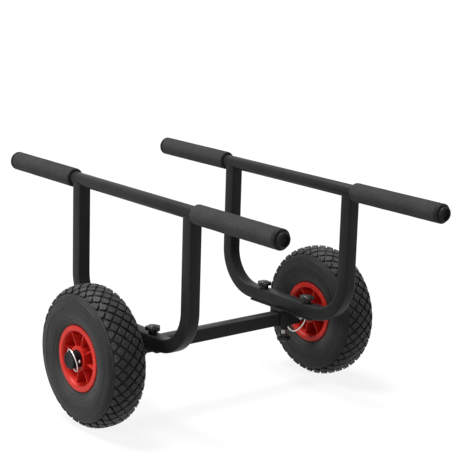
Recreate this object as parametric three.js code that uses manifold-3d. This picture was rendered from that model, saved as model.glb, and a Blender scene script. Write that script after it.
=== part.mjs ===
import * as THREE from 'three';
import { mergeVertices } from 'three/addons/utils/BufferGeometryUtils.js';
import Module from 'manifold-3d';

const wasm = await Module();
wasm.setup();

// Kayak cart. The axle beam runs along X, the padded rails along Y, and the tyres stand on z = 0.
// Left is -X and front is -Y. All lengths are in millimetres.

// Fits
const seatGap = 0.3; // between pieces that touch
const slideGap = 0.5; // on each side of the beam inside a slider
const slotGap = 0.5; // round a pin in the beam's slot
const cutOverrun = 2; // how far a cutting shape runs past the wall it cuts
const joinOverlap = 1; // how far shapes that become one solid run into each other

// Tyres
const tyreDiameter = 260;
const tyreWidth = 80.6;
const tyreWidestRise = 33.5; // of the section's widest place above the rim's seat
const tyreUpperPower = 0.75; // below 1 the upper half is squarer than an ellipse
const tyreLowerHeight = 39; // of the whole ellipse below the widest place
const tyreWall = 6;
const beadWidth = 6.5;
const beadHeight = 5.2;
const beadCrease = 1.5; // how far the side wall overhangs the bead above the rim's flange
const tyreLowDegrees = -37; // where the outside ends, above the rim's flange
const tyreSideShares = [0.25, 0.48, 0.74]; // of the side wall from the shoulder down
const tyreInnerDegrees = [-10, 40];
const wheelTrack = 549;

// Tread: rows of raised diamonds, measured along the tyre's section from its crown
const treadDepth = 3;
const treadRowSpacing = 12.6;
const treadRowCount = 3; // on each side of the crown row
const treadPitchCount = 36;
const treadGrooveWidth = 3.8;
const treadEdgeShare = 0.52; // of an outer diamond's outer half that is left
const treadFloorShare = 0.42; // of the same half, where the groove's floor ends
const treadShoulder = 2.7; // from the outer diamonds' ends to the shoulder

// Rims
const rimWidth = 67.5;
const rimFlangeHeight = 8.25;
const rimFlangeThickness = 4.2;
const rimFlangeChamfer = 1.5;
const rimSeatDiameter = 105;
const rimBarrelWall = 4;
const rimLipDepth = 5;
const rimLipFlare = 2;
const webThickness = 5;
const hubWall = 6.2;
const hubLength = 66;
const ribCount = 8;
const ribThickness = 3;
const ribSetback = 6; // of the ribs' edges behind the rim's faces
const ribTurnDegrees = 12; // of the first rib, from +Y towards +Z

// Bushes, inner tubes and valves
const bushWall = 3.2;
const bushLength = 20;
const tubeWall = 2;
const valveDiameter = 7.4;
const valveCapDiameter = 6;
const valveHubGap = 7; // from the valve's tip to the hub
const valveCapShare = 0.48; // of the stem that stands in the rim's pocket
const valveOffset = 14; // outboard of the wheel's middle plane
const valveTurnDegrees = 350;

// Axle beam
const beamSize = 25;
const beamWall = 2;
const beamCorner = 2.5;
const pinTravelIn = 28.5; // slot past the inner of the two slider pins
const pinTravelOut = 5; // slot past the outer of the two

// Axle shafts and what holds the wheels on them
const shaftDiameter = 25;
const shaftChamfer = 1;
const spigotLength = 16;
const collarStep = 4.5; // of the collar above the shaft
const collarThickness = 3;
const spacerWall = 3.2;
const spacerLength = 1.6;
const axleCapWall = 3.2;
const axleCapFloor = 3.2;
const axleCapChamfer = 0.8;
const axleCapNose = 13; // from the pin to the cap's end face
const axlePinHubGap = 0.5; // from the pin's head to the hub

// Pins and their wires
const pinDiameter = 6;
const pinTipChamfer = 1.2;
const wireDiameter = 2.6;
const axlePinHeadDiameter = 9;
const axlePinHeadLength = 6;
const axlePinTip = 2.3; // how far the pin's tip stands out of the cap
const ringHeadGap = 0.8; // straight wire past each side of the pin's head
const ringEndGap = 1.2; // from the middle of the head to each end of the ring
const ringCapGap = 3.5; // between the ring's inside and the cap
const ringTiltDegrees = 15; // of its hinge, away from upright
const ringLeanDegrees = 12.5; // how far it swings out over the pin's tip
const ringSteps = 13;
const sliderPinHeadDiameter = 12;
const sliderPinHeadLength = 11;
const sliderPinTip = 15;
const bowHeadGap = 0.7; // between the bow and the side of the pin's head
const bowPeg = 3.5; // how far the bow's ends reach past the pin's middle line
const bowDrop = 36; // how far the bow's lowest point hangs below the pin
const bowLean = 13; // of the lowest point towards the pin's head
const bowSteps = 10;

// Sliders, plates and clamp screws
const sliderWall = 2;
const sliderCorner = 2.5;
const sliderInner = 22; // slider ends, measured inboard and outboard of the cradle frame
const sliderOuter = 30;
const sliderPinOffset = 21; // outboard of the cradle frame
const plateOverhang = 28; // past the frame studs
const plateThickness = 3.5;
const saddleInner = 24; // saddle ends, measured like the slider's
const saddleOuter = 30;
const saddleWidth = 32;
const bossDiameter = 16;
const bossLength = 10;
const studDiameter = 8;
const studClearance = 0.5; // round a stud where it passes freely
const clampKnobDrop = 9; // bare thread between the boss and the clamp knob

// Cradle frames
const leftSliderInset = 17; // from the beam's end to the slider
const rightSliderInset = 27;
const frameTubeSize = 25;
const frameTubeWall = 1.8;
const frameTubeCorner = 2.5;
const frameLegSpacing = 342; // between the legs' middle lines
const frameBendRadius = 76;
const frameBendSteps = 6;
const knobInset = 31; // from the bend's start to the knob
const railHeight = 413.7; // of the rail's middle line above the floor
const railDiameter = 25;
const railWall = 1.8;
const legTopDrop = 4.5; // of the legs' flat tops below the rail's middle line

// Grips and rail caps
const gripDiameter = 36;
const gripLength = 212.1; // of the front grips, which start at the legs
const rearGripSetback = 9; // bare rail between the rear legs and the grips
const gripEndRound = 2;
const railCapDiameter = 35.8;
const railCapBoreDepth = 4.6;
const railCapFloor = 2.7;
const railCapChamfer = 1.5;
const railCapNoseDiameter = 26.4;
const railCapNoseLength = 5.8;
const railCapRecessDiameter = 18;
const railCapRecessDepth = 5.5;

// Star knobs
const knobDiameter = 29;
const knobLobeDepth = 3.2;
const knobLobeCount = 5;
const knobOutlineSteps = 20;
const knobHeadThickness = 7.5;
const knobEdge = 1.4;
const knobNeckDiameter = 17;
const knobNeckLength = 5.5;
const knobDomeDiameter = 19;
const knobDomeHeight = 2.5;
const knobBoreDepth = 9;

// Facets round each kind of round piece
const wheelSegments = 36;
const cavitySegments = 18;
const knobSegments = 16;
const tubeSegments = 20;
const smallSegments = 12;

// Holes and outer sizes that follow what they fit
const boreOverShaft = shaftDiameter + 2 * seatGap;
const pinHoleDiameter = pinDiameter + 2 * seatGap;
const wireHoleDiameter = wireDiameter + 2 * seatGap;
const studHoleDiameter = studDiameter + 2 * seatGap;
const spigotDiameter = beamSize - 2 * beamWall - 2 * seatGap;
const collarDiameter = shaftDiameter + 2 * collarStep;
const spacerDiameter = boreOverShaft + 2 * spacerWall;
const axleCapDiameter = boreOverShaft + 2 * axleCapWall;
const bushDiameter = boreOverShaft + 2 * bushWall;
const hubDiameter = bushDiameter + 2 * seatGap + 2 * hubWall;
const rimFlangeDiameter = rimSeatDiameter + 2 * rimFlangeHeight;
const sliderBore = beamSize + 2 * slideGap;
const sliderSize = sliderBore + 2 * sliderWall;
const railCapLength = railCapBoreDepth + railCapFloor + railCapRecessDepth;
const knobHeight = knobNeckLength + knobHeadThickness + knobDomeHeight;

// Places along the axle, measured out from the cart's middle
const wheelX = wheelTrack / 2;
const hubInnerX = wheelX - hubLength / 2;
const hubOuterX = wheelX + hubLength / 2;
const spacerX = hubInnerX - seatGap - spacerLength;
const collarX = spacerX - seatGap - collarThickness;
const beamEndX = collarX - seatGap;
const axleCapX = hubOuterX + seatGap;
const axlePinX = axleCapX + axlePinHeadDiameter / 2 + axlePinHubGap;
const axleEndX = axlePinX + axleCapNose;
const shaftEndX = axleEndX - axleCapFloor - seatGap;
const leftFrameX = beamEndX - leftSliderInset - sliderOuter;
const rightFrameX = beamEndX - rightSliderInset - sliderOuter;
const slotInnerX = Math.min(leftFrameX, rightFrameX) + sliderPinOffset - pinTravelIn;
const slotOuterX = Math.max(leftFrameX, rightFrameX) + sliderPinOffset + pinTravelOut;

// Heights
const axleHeight = tyreDiameter / 2;
const tyreUpperHeight = (tyreDiameter - rimSeatDiameter) / 2 - tyreWidestRise;
const bossTopZ = axleHeight - sliderSize / 2 - seatGap;
const plateBottomZ = axleHeight + sliderSize / 2 + seatGap;
const frameBottomZ = plateBottomZ + plateThickness + seatGap;
const frameMiddleZ = frameBottomZ + frameTubeSize / 2;
const frameTopZ = frameBottomZ + frameTubeSize;

// Places along the rails, measured out from the axle
const legY = frameLegSpacing / 2;
const bendY = legY - frameBendRadius;
const knobY = bendY - knobInset;
const gripY = legY + frameTubeSize / 2 + seatGap;
const railCapY = gripY + gripLength + seatGap;
const railEndY = railCapY + railCapBoreDepth - seatGap;

// Finishes
function finish(color, roughness, metalness) {
  return new THREE.MeshStandardMaterial({ color, roughness, metalness });
}
const blackPaint = finish(0x232326, 0.5, 0.2);
const blackPlastic = finish(0x1c1c1e, 0.55, 0);
const greyFoam = finish(0x3c3d3d, 0.9, 0);
const tyreRubber = finish(0x2b2b2d, 0.8, 0);
const redPlastic = finish(0xc2202a, 0.45, 0);
const brightZinc = finish(0xc8cacc, 0.3, 0.9);

// Solids for cutting and joining
function solidFrom(geometry) {
  const shell = geometry.clone();
  for (const name of Object.keys(shell.attributes)) {
    if (name !== 'position') {
      shell.deleteAttribute(name);
    }
  }
  const merged = mergeVertices(shell);
  const corners = merged.index.array;
  const kept = [];
  for (let i = 0; i < corners.length; i += 3) {
    const [a, b, c] = [corners[i], corners[i + 1], corners[i + 2]];
    if (a !== b && b !== c && c !== a) {
      kept.push(a, b, c);
    }
  }
  return new wasm.Manifold(new wasm.Mesh({
    numProp: 3,
    vertProperties: new Float32Array(merged.attributes.position.array),
    triVerts: new Uint32Array(kept),
  }));
}

function geometryFrom(solid) {
  const mesh = solid.getMesh();
  const geometry = new THREE.BufferGeometry();
  geometry.setAttribute('position', new THREE.BufferAttribute(mesh.vertProperties, 3));
  geometry.setIndex(new THREE.BufferAttribute(mesh.triVerts, 1));
  geometry.computeVertexNormals();
  return geometry;
}

function cut(geometry, ...tools) {
  return geometryFrom(tools.reduce((solid, tool) => solid.subtract(solidFrom(tool)), solidFrom(geometry)));
}

function join(geometry, ...others) {
  return geometryFrom(others.reduce((solid, other) => solid.add(solidFrom(other)), solidFrom(geometry)));
}

// Simple shapes
const turnOntoAxis = {
  x: (geometry) => geometry.rotateZ(-Math.PI / 2),
  y: (geometry) => geometry,
  z: (geometry) => geometry.rotateX(Math.PI / 2),
};

// A profile is a closed list of [place along the axis, radius]
function turned(profile, axis, segments) {
  const points = profile.map(([along, radius]) => new THREE.Vector2(radius, along));
  if (THREE.ShapeUtils.area(points) < 0) {
    points.reverse();
  }
  points.push(points[0].clone());
  return turnOntoAxis[axis](new THREE.LatheGeometry(points, segments));
}

function ring(from, to, innerDiameter, outerDiameter, axis, segments) {
  const [inner, outer] = [innerDiameter / 2, outerDiameter / 2];
  return turned([[from, inner], [to, inner], [to, outer], [from, outer]], axis, segments);
}

function rod(from, to, diameter, axis, segments) {
  return turned([[from, 0], [to, 0], [to, diameter / 2], [from, diameter / 2]], axis, segments);
}

function box(from, to) {
  const size = new THREE.Vector3().subVectors(to, from);
  const middle = new THREE.Vector3().addVectors(from, to).multiplyScalar(1 / 2);
  return new THREE.BoxGeometry(size.x, size.y, size.z).translate(middle.x, middle.y, middle.z);
}

// Square tube section with rounded outer corners
function tubeSection(size, wall, corner) {
  const half = size / 2;
  const turn = half - corner;
  const section = new THREE.Shape();
  section.absarc(turn, turn, corner, 0, Math.PI / 2);
  section.absarc(-turn, turn, corner, Math.PI / 2, Math.PI);
  section.absarc(-turn, -turn, corner, Math.PI, 3 * Math.PI / 2);
  section.absarc(turn, -turn, corner, 3 * Math.PI / 2, 2 * Math.PI);
  const bore = half - wall;
  section.holes.push(new THREE.Path([
    new THREE.Vector2(-bore, -bore),
    new THREE.Vector2(-bore, bore),
    new THREE.Vector2(bore, bore),
    new THREE.Vector2(bore, -bore),
  ]));
  return section;
}

function squareTube(from, to, size, wall, corner) {
  const tube = new THREE.ExtrudeGeometry(tubeSection(size, wall, corner), {
    depth: to - from,
    bevelEnabled: false,
    curveSegments: 1,
  });
  return tube.rotateY(Math.PI / 2).translate(from, 0, 0);
}

// A path with one station on each of its points, so that they can lie close in the bends
class StationPath extends THREE.Curve {
  constructor(points) {
    super();
    this.points = points;
  }

  getPoint(t, target = new THREE.Vector3()) {
    const last = this.points.length - 1;
    const index = Math.min(Math.floor(t * last), last - 1);
    return target.lerpVectors(this.points[index], this.points[index + 1], t * last - index);
  }

  getUtoTmapping(u) {
    return u;
  }
}

function swept(section, points, curveSegments) {
  return new THREE.ExtrudeGeometry(section, {
    steps: points.length - 1,
    extrudePath: new StationPath(points),
    curveSegments,
  });
}

function wire(points) {
  const section = new THREE.Shape().absarc(0, 0, wireDiameter / 2, 0, 2 * Math.PI);
  return swept(section, points, 3);
}

function degrees(angle) {
  return THREE.MathUtils.degToRad(angle);
}

// Wheels, about their own middle
function sectionPoint(angle, inset) {
  const [power, height] = angle < 0 ? [1, -tyreLowerHeight] : [tyreUpperPower, tyreUpperHeight];
  const across = Math.cos(degrees(angle)) ** power;
  const away = Math.abs(Math.sin(degrees(angle))) ** power;
  const widest = tyreDiameter / 2 - tyreUpperHeight;
  return [(tyreWidth / 2 - inset) * across, widest + (height - Math.sign(height) * inset) * away];
}

function mirroredProfile(half, crown) {
  const otherHalf = half.map(([along, radius]) => [-along, radius]).reverse();
  return [...half, ...crown, ...otherHalf];
}

const beadFace = rimWidth / 2 - rimFlangeThickness - seatGap;
const beadSeat = rimSeatDiameter / 2 + seatGap;
const flangeTop = rimFlangeDiameter / 2 + seatGap;

// Places down the outside from the crown, as [distance, x, radius]
const sectionSteps = 240;
const section = [];
for (let i = 0; i <= sectionSteps; i += 1) {
  const point = sectionPoint(90 + (tyreLowDegrees - 90) * i / sectionSteps, 0);
  const [distance, x, radius] = section[i - 1] ?? [0, ...point];
  section.push([distance + Math.hypot(point[0] - x, point[1] - radius), ...point]);
}
const sectionLength = section[sectionSteps][0];
const shoulderDistance = (treadRowCount + treadEdgeShare) * treadRowSpacing + treadShoulder;
const sideStations = [...tyreSideShares, 1].map(
  (share) => shoulderDistance + share * (sectionLength - shoulderDistance),
);

// Distance is signed, along counts pitches round the tyre, and height stands on the section
function onTyre(distance, along, height) {
  const wanted = Math.min(Math.abs(distance), sectionLength);
  const next = Math.max(1, section.findIndex((station) => station[0] >= wanted));
  const [low, high] = [section[next - 1], section[next]];
  const share = (wanted - low[0]) / (high[0] - low[0]);
  const [x, radius] = [1, 2].map((i) => low[i] + share * (high[i] - low[i]));
  const run = wanted === 0 ? [1, 0] : [1, 2].map((i) => (high[i] - low[i]) / (high[0] - low[0]));
  return aroundAxle(Math.sign(distance) * (x - run[1] * height), radius + run[0] * height, along);
}

function aroundAxle(x, radius, along) {
  const angle = 2 * Math.PI * along / treadPitchCount;
  return new THREE.Vector3(x, radius * Math.sin(angle), radius * Math.cos(angle));
}

// The tyre's whole outside as one closed skin, its bore at the bead seats
function tyreShell() {
  const corners = [];
  const addPatch = (...places) => {
    const flat = places.map(([distance, along]) => new THREE.Vector2(distance, along));
    const ordered = THREE.ShapeUtils.area(flat) < 0 ? [...places].reverse() : places;
    for (let i = 1; i < ordered.length - 1; i += 1) {
      corners.push(...[ordered[0], ordered[i], ordered[i + 1]].map((place) => onTyre(...place)));
    }
  };
  const halfPitch = 1 / 2;
  const halfPitchLength = Math.PI * tyreDiameter / 2 / treadPitchCount;
  const sideDistance = treadRowSpacing * halfPitchLength / Math.hypot(treadRowSpacing, halfPitchLength);
  const topShare = 1 - treadGrooveWidth / 2 / sideDistance;
  const outerRow = treadRowCount * treadRowSpacing;
  const edge = outerRow + treadEdgeShare * treadRowSpacing;
  const floorEnd = outerRow + treadFloorShare * treadRowSpacing;
  const cutHalf = halfPitch * (topShare - treadEdgeShare);

  for (let row = -treadRowCount; row <= treadRowCount; row += 1) {
    const side = Math.sign(row);
    const middle = row * treadRowSpacing;
    for (let k = 0; k < treadPitchCount; k += 1) {
      const along = k + Math.abs(row) % 2 / 2;
      const tip = (end) => [middle + end * topShare * treadRowSpacing, along, 0];
      const flank = (end) => [middle, along + end * topShare * halfPitch, 0];
      const tipFloor = (end) => [middle + end * treadRowSpacing, along, -treadDepth];
      const flankFloor = (end) => [middle, along + end * halfPitch, -treadDepth];
      const inwards = Math.abs(row) === treadRowCount ? [-side] : [-1, 1];
      for (const end of inwards) {
        for (const turn of [-1, 1]) {
          addPatch(tip(end), flank(turn), flankFloor(turn), tipFloor(end));
          if (row === 0) {
            addPatch([0, along, 0], flank(turn), tip(end));
          }
        }
        if (row !== 0) {
          addPatch(flank(-1), flank(1), tip(end));
        }
      }
      if (Math.abs(row) === treadRowCount) {
        const cutCorner = (turn) => [side * edge, along + turn * cutHalf, 0];
        const low = (turn) => [side * shoulderDistance, along + turn * halfPitch, 0];
        const below = (turn) => [side * sideStations[0], along + turn * halfPitch, 0];
        addPatch(flank(-1), flank(1), cutCorner(1), cutCorner(-1));
        for (const turn of [-1, 1]) {
          const floorCorner = [side * floorEnd, along + turn * halfPitch, -treadDepth];
          addPatch(flank(turn), cutCorner(turn), floorCorner, flankFloor(turn));
          addPatch(cutCorner(turn), low(turn), floorCorner);
          addPatch(low(turn), cutCorner(turn), below(turn));
        }
        addPatch(cutCorner(-1), cutCorner(1), below(1), below(-1));
      }
    }
  }

  const firstAlong = halfPitch + treadRowCount % 2 / 2;
  const rings = (side) => [
    ...sideStations.map((distance) => (along) => onTyre(side * distance, along, 0)),
    ...[[beadFace + beadCrease, flangeTop], [beadFace, flangeTop], [beadFace, beadSeat]].map(
      ([x, radius]) => (along) => aroundAxle(side * x, radius, along),
    ),
  ];
  const addBand = (from, to, k) => {
    const [a, b] = [firstAlong + k, firstAlong + k + 1];
    corners.push(from(a), to(a), to(b), from(a), to(b), from(b));
  };
  const [right, left] = [rings(1), rings(-1)];
  for (let k = 0; k < treadPitchCount; k += 1) {
    for (let i = 1; i < right.length; i += 1) {
      addBand(right[i - 1], right[i], k);
      addBand(left[i], left[i - 1], k);
    }
    addBand(right[right.length - 1], left[left.length - 1], k);
  }
  return new THREE.BufferGeometry().setFromPoints(corners);
}

function tyre() {
  const innerHalf = [
    [beadFace - beadWidth, beadSeat - cutOverrun],
    [beadFace - beadWidth, beadSeat + beadHeight],
    ...tyreInnerDegrees.map((angle) => sectionPoint(angle, tyreWall)),
  ];
  const cavity = mirroredProfile(innerHalf, [sectionPoint(90, tyreWall)]);
  return cut(tyreShell(), turned(cavity, 'x', cavitySegments));
}

// The inner tube's flats clear the rounder rim inside them
const tubeSeat = beadSeat / Math.cos(Math.PI / cavitySegments);

function innerTubeSkin(inset) {
  const side = beadFace - beadWidth - seatGap - inset;
  const half = [
    [side, tubeSeat + inset],
    [side, beadSeat + beadHeight],
    ...tyreInnerDegrees.map((angle) => sectionPoint(angle, tyreWall + seatGap + inset)),
  ];
  const crown = sectionPoint(90, tyreWall + seatGap + inset);
  return turned(mirroredProfile(half, [crown]), 'x', cavitySegments);
}

// A hollow ring, open only where the valve stands in it
function innerTube(side) {
  return cut(innerTubeSkin(0), innerTubeSkin(tubeWall), valveHole(side));
}

function valveHole(side) {
  const from = rimSeatDiameter / 2 - rimBarrelWall - cutOverrun;
  const to = tubeSeat + tubeWall + cutOverrun;
  const hole = rod(from, to, valveDiameter + 2 * seatGap, 'y', smallSegments);
  return hole.translate(side * valveOffset, 0, 0).rotateX(degrees(valveTurnDegrees));
}

function rim(side) {
  const face = rimWidth / 2;
  const flange = rimFlangeDiameter / 2;
  const seat = rimSeatDiameter / 2;
  const barrel = seat - rimBarrelWall;
  const hub = hubDiameter / 2;
  const bore = bushDiameter / 2 + seatGap;
  const half = [
    [hubLength / 2, bore],
    [hubLength / 2, hub],
    [webThickness / 2, hub],
    [webThickness / 2, barrel],
    [face - rimLipDepth, barrel],
    [face, barrel + rimLipFlare],
    [face, flange - rimFlangeChamfer],
    [face - rimFlangeChamfer, flange],
    [face - rimFlangeThickness, flange],
    [face - rimFlangeThickness, seat],
  ];
  const disc = turned(mirroredProfile(half, []), 'x', wheelSegments);
  const ribs = [];
  for (let i = 0; i < ribCount; i += 1) {
    const rib = box(
      new THREE.Vector3(ribSetback - face, hub - joinOverlap, -ribThickness / 2),
      new THREE.Vector3(face - ribSetback, barrel + joinOverlap, ribThickness / 2),
    );
    ribs.push(rib.rotateX(degrees(ribTurnDegrees + 360 * i / ribCount)));
  }
  return cut(join(disc, ...ribs), valveHole(side));
}

function bush(side) {
  const end = hubLength / 2;
  return ring(side * (end - bushLength), side * end, boreOverShaft, bushDiameter, 'x', tubeSegments);
}

function valve(side) {
  const base = tubeSeat + tubeWall;
  const end = hubDiameter / 2 + valveHubGap;
  const neck = end + valveCapShare * (rimSeatDiameter / 2 - end);
  const profile = [
    [base, 0],
    [base, valveDiameter / 2],
    [neck, valveDiameter / 2],
    [neck, valveCapDiameter / 2],
    [end, valveCapDiameter / 2],
    [end, 0],
  ];
  const stem = turned(profile, 'y', smallSegments);
  return stem.translate(side * valveOffset, 0, 0).rotateX(degrees(valveTurnDegrees));
}

// Axle beam with the slots that the slider pins travel in
function beam() {
  const slotHeight = pinDiameter + 2 * slotGap;
  const tools = [];
  for (const side of [-1, 1]) {
    const ends = [slotInnerX, slotOuterX].map((x) => side * x);
    const reach = beamSize / 2 + cutOverrun;
    tools.push(box(
      new THREE.Vector3(Math.min(...ends), -reach, -slotHeight / 2),
      new THREE.Vector3(Math.max(...ends), reach, slotHeight / 2),
    ));
    for (const x of ends) {
      tools.push(rod(-reach, reach, slotHeight, 'y', smallSegments).translate(x, 0, 0));
    }
  }
  return cut(squareTube(-beamEndX, beamEndX, beamSize, beamWall, beamCorner), ...tools);
}

function crossHole(x, diameter, reach) {
  return rod(-reach, reach, diameter, 'y', smallSegments).translate(x, 0, 0);
}

function shaft(side) {
  const radius = shaftDiameter / 2;
  const profile = [
    [beamEndX - spigotLength, 0],
    [beamEndX - spigotLength, spigotDiameter / 2],
    [collarX, spigotDiameter / 2],
    [collarX, collarDiameter / 2],
    [collarX + collarThickness, collarDiameter / 2],
    [collarX + collarThickness, radius],
    [shaftEndX - shaftChamfer, radius],
    [shaftEndX, radius - shaftChamfer],
    [shaftEndX, 0],
  ].map(([along, r]) => [side * along, r]);
  return cut(
    turned(profile, 'x', tubeSegments),
    crossHole(side * axlePinX, pinHoleDiameter, radius + cutOverrun),
  );
}

function spacer(side) {
  return ring(side * spacerX, side * (hubInnerX - seatGap), boreOverShaft, spacerDiameter, 'x', tubeSegments);
}

function axleCap(side) {
  const radius = axleCapDiameter / 2;
  const bore = boreOverShaft / 2;
  const profile = [
    [axleCapX, bore],
    [axleCapX, radius],
    [axleEndX - axleCapChamfer, radius],
    [axleEndX, radius - axleCapChamfer],
    [axleEndX, 0],
    [axleEndX - axleCapFloor, 0],
    [axleEndX - axleCapFloor, bore],
  ].map(([along, r]) => [side * along, r]);
  return cut(
    turned(profile, 'x', tubeSegments),
    crossHole(side * axlePinX, pinHoleDiameter, radius + cutOverrun),
  );
}

// A pin along Y with its head at the rear, about the pin's own middle
function pin(carrierHalf, tip, headDiameter, headLength) {
  const headFrom = carrierHalf + seatGap;
  const radius = pinDiameter / 2;
  return turned([
    [-(carrierHalf + tip), 0],
    [-(carrierHalf + tip), radius - pinTipChamfer],
    [-(carrierHalf + tip) + pinTipChamfer, radius],
    [headFrom, radius],
    [headFrom, headDiameter / 2 - pinTipChamfer],
    [headFrom + pinTipChamfer, headDiameter / 2],
    [headFrom + headLength - pinTipChamfer, headDiameter / 2],
    [headFrom + headLength, headDiameter / 2 - pinTipChamfer],
    [headFrom + headLength, 0],
  ], 'y', smallSegments);
}

// The ring goes round the axle cap and turns on its straight part in the pin's head
const ringHingeY = axleCapDiameter / 2 + seatGap + axlePinHeadLength / 2;
const ringRadius = axleCapDiameter / 2 + ringCapGap + wireDiameter / 2;
const ringChord = axlePinHeadDiameter / 2 / Math.cos(degrees(ringTiltDegrees)) + ringHeadGap;
const ringMiddleToChord = Math.sqrt(ringRadius ** 2 - ringChord ** 2);

function onRingHinge(geometry, side) {
  return geometry.rotateY(side * degrees(ringTiltDegrees)).translate(0, ringHingeY, 0);
}

function axlePin(side) {
  const body = pin(axleCapDiameter / 2, axlePinTip, axlePinHeadDiameter, axlePinHeadLength);
  const reach = axlePinHeadDiameter;
  return cut(body, onRingHinge(rod(-reach, reach, wireHoleDiameter, 'z', smallSegments), side));
}

function axleRing(side) {
  const tilt = side * degrees(ringTiltDegrees);
  const along = new THREE.Vector3(Math.sin(tilt), 0, Math.cos(tilt));
  const out = new THREE.Vector3(0, -1, 0).applyAxisAngle(along, side * degrees(ringLeanDegrees));
  const hinge = new THREE.Vector3(0, ringHingeY, 0);
  const place = (a, forward) => hinge.clone().addScaledVector(along, a).addScaledVector(out, forward);
  const startAngle = Math.atan2(-ringMiddleToChord, ringChord);
  const sweep = Math.PI - 2 * startAngle;
  const points = [place(ringEndGap, 0)];
  for (let i = 0; i <= ringSteps; i += 1) {
    const angle = startAngle + sweep * i / ringSteps;
    points.push(place(ringRadius * Math.cos(angle), ringMiddleToChord + ringRadius * Math.sin(angle)));
  }
  points.push(place(-ringEndGap, 0));
  return wire(points);
}

// The bow turns in the slider pin's head and hooks in front of the pin's tip
const bowOffset = (sliderPinHeadDiameter + wireDiameter) / 2 + bowHeadGap;
const bowHingeY = sliderSize / 2 + seatGap + sliderPinHeadLength / 2;
const bowFrontY = -(sliderSize / 2 + sliderPinTip + seatGap + wireDiameter / 2);

function sliderPin() {
  const body = pin(sliderSize / 2, sliderPinTip, sliderPinHeadDiameter, sliderPinHeadLength);
  const reach = sliderPinHeadDiameter;
  return cut(body, rod(-reach, reach, wireHoleDiameter, 'x', smallSegments).translate(0, bowHingeY, 0));
}

function bow(side) {
  const middle = (bowHingeY + bowFrontY) / 2;
  const halfSpan = (bowHingeY - bowFrontY) / 2;
  const points = [new THREE.Vector3(-side * bowPeg, bowHingeY, 0)];
  for (let i = 0; i <= bowSteps; i += 1) {
    const angle = Math.PI * i / bowSteps;
    points.push(new THREE.Vector3(
      side * bowOffset,
      middle + halfSpan * Math.cos(angle) + bowLean * Math.sin(angle),
      -bowDrop * Math.sin(angle),
    ));
  }
  points.push(new THREE.Vector3(-side * bowPeg, bowFrontY, 0));
  return wire(points);
}

// Slider: a short outer tube on the beam, about the cradle frame's plane and the axle's height
function slider(side) {
  const ends = [-side * sliderInner, side * sliderOuter].sort((a, b) => a - b);
  const tube = squareTube(...ends, sliderSize, sliderWall, sliderCorner);
  const reach = sliderSize / 2 + cutOverrun;
  return cut(
    tube,
    crossHole(side * sliderPinOffset, pinHoleDiameter, reach),
    rod(-reach, 0, studDiameter + 2 * studClearance, 'z', smallSegments),
  );
}

// Plate under the cradle frame, with a wider saddle where it lies on the slider
function plate(side) {
  const half = frameTubeSize / 2;
  const plateTop = plateBottomZ + plateThickness;
  const slab = box(
    new THREE.Vector3(-half, -knobY - plateOverhang, plateBottomZ),
    new THREE.Vector3(half, knobY + plateOverhang, plateTop),
  );
  const [from, to] = [-side * saddleInner, side * saddleOuter].sort((a, b) => a - b);
  const saddle = box(
    new THREE.Vector3(from, -saddleWidth / 2, plateBottomZ),
    new THREE.Vector3(to, saddleWidth / 2, plateTop),
  );
  return cut(join(slab, saddle), ...studHoles(studHoleDiameter, plateBottomZ, plateTop));
}

function studHoles(diameter, from, to) {
  return [-1, 1].map((end) => (
    rod(from - cutOverrun, to + cutOverrun, diameter, 'z', smallSegments).translate(0, end * knobY, 0)
  ));
}

// Cradle frame: one bent square tube, its legs hollowed to fit under the rail
function cradleFrame() {
  const legTop = railHeight - legTopDrop;
  const bendZ = frameMiddleZ + frameBendRadius;
  const points = [new THREE.Vector3(0, -legY, legTop)];
  for (const end of [-1, 1]) {
    for (let i = 0; i <= frameBendSteps; i += 1) {
      const step = end < 0 ? i : frameBendSteps - i;
      const angle = Math.PI / 2 * step / frameBendSteps;
      points.push(new THREE.Vector3(
        0,
        end * (bendY + frameBendRadius * Math.cos(angle)),
        bendZ - frameBendRadius * Math.sin(angle),
      ));
    }
  }
  points.push(new THREE.Vector3(0, legY, legTop));
  const tube = swept(tubeSection(frameTubeSize, frameTubeWall, frameTubeCorner), points, 1);
  const seat = rod(-railEndY, railEndY, railDiameter + 2 * seatGap, 'y', tubeSegments);
  return cut(
    tube,
    seat.translate(0, 0, railHeight),
    ...studHoles(studDiameter + 2 * studClearance, frameBottomZ, frameTopZ),
  );
}

function rail() {
  return ring(-railEndY, railEndY, railDiameter - 2 * railWall, railDiameter, 'y', tubeSegments);
}

function grip(end) {
  const from = gripY + (end > 0 ? rearGripSetback : 0);
  const to = gripY + gripLength;
  const bore = railDiameter / 2 + seatGap;
  const radius = gripDiameter / 2;
  return turned([
    [from, bore],
    [to, bore],
    [to, radius],
    [from + gripEndRound, radius],
    [from, radius - gripEndRound],
  ].map(([along, r]) => [end * along, r]), 'y', tubeSegments);
}

function railCap(end) {
  const bore = railDiameter / 2 + seatGap;
  const radius = railCapDiameter / 2;
  const nose = railCapNoseDiameter / 2;
  const recess = railCapRecessDiameter / 2;
  const outer = railCapY + railCapLength;
  const step = outer - railCapNoseLength;
  const floor = railCapY + railCapBoreDepth;
  return turned([
    [railCapY, bore],
    [railCapY, radius],
    [step - railCapChamfer, radius],
    [step, radius - railCapChamfer],
    [step, nose],
    [outer - railCapChamfer, nose],
    [outer, nose - railCapChamfer],
    [outer, recess],
    [outer - railCapRecessDepth, recess],
    [outer - railCapRecessDepth, 0],
    [floor, 0],
    [floor, bore],
  ].map(([along, r]) => [end * along, r]), 'y', tubeSegments);
}

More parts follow.
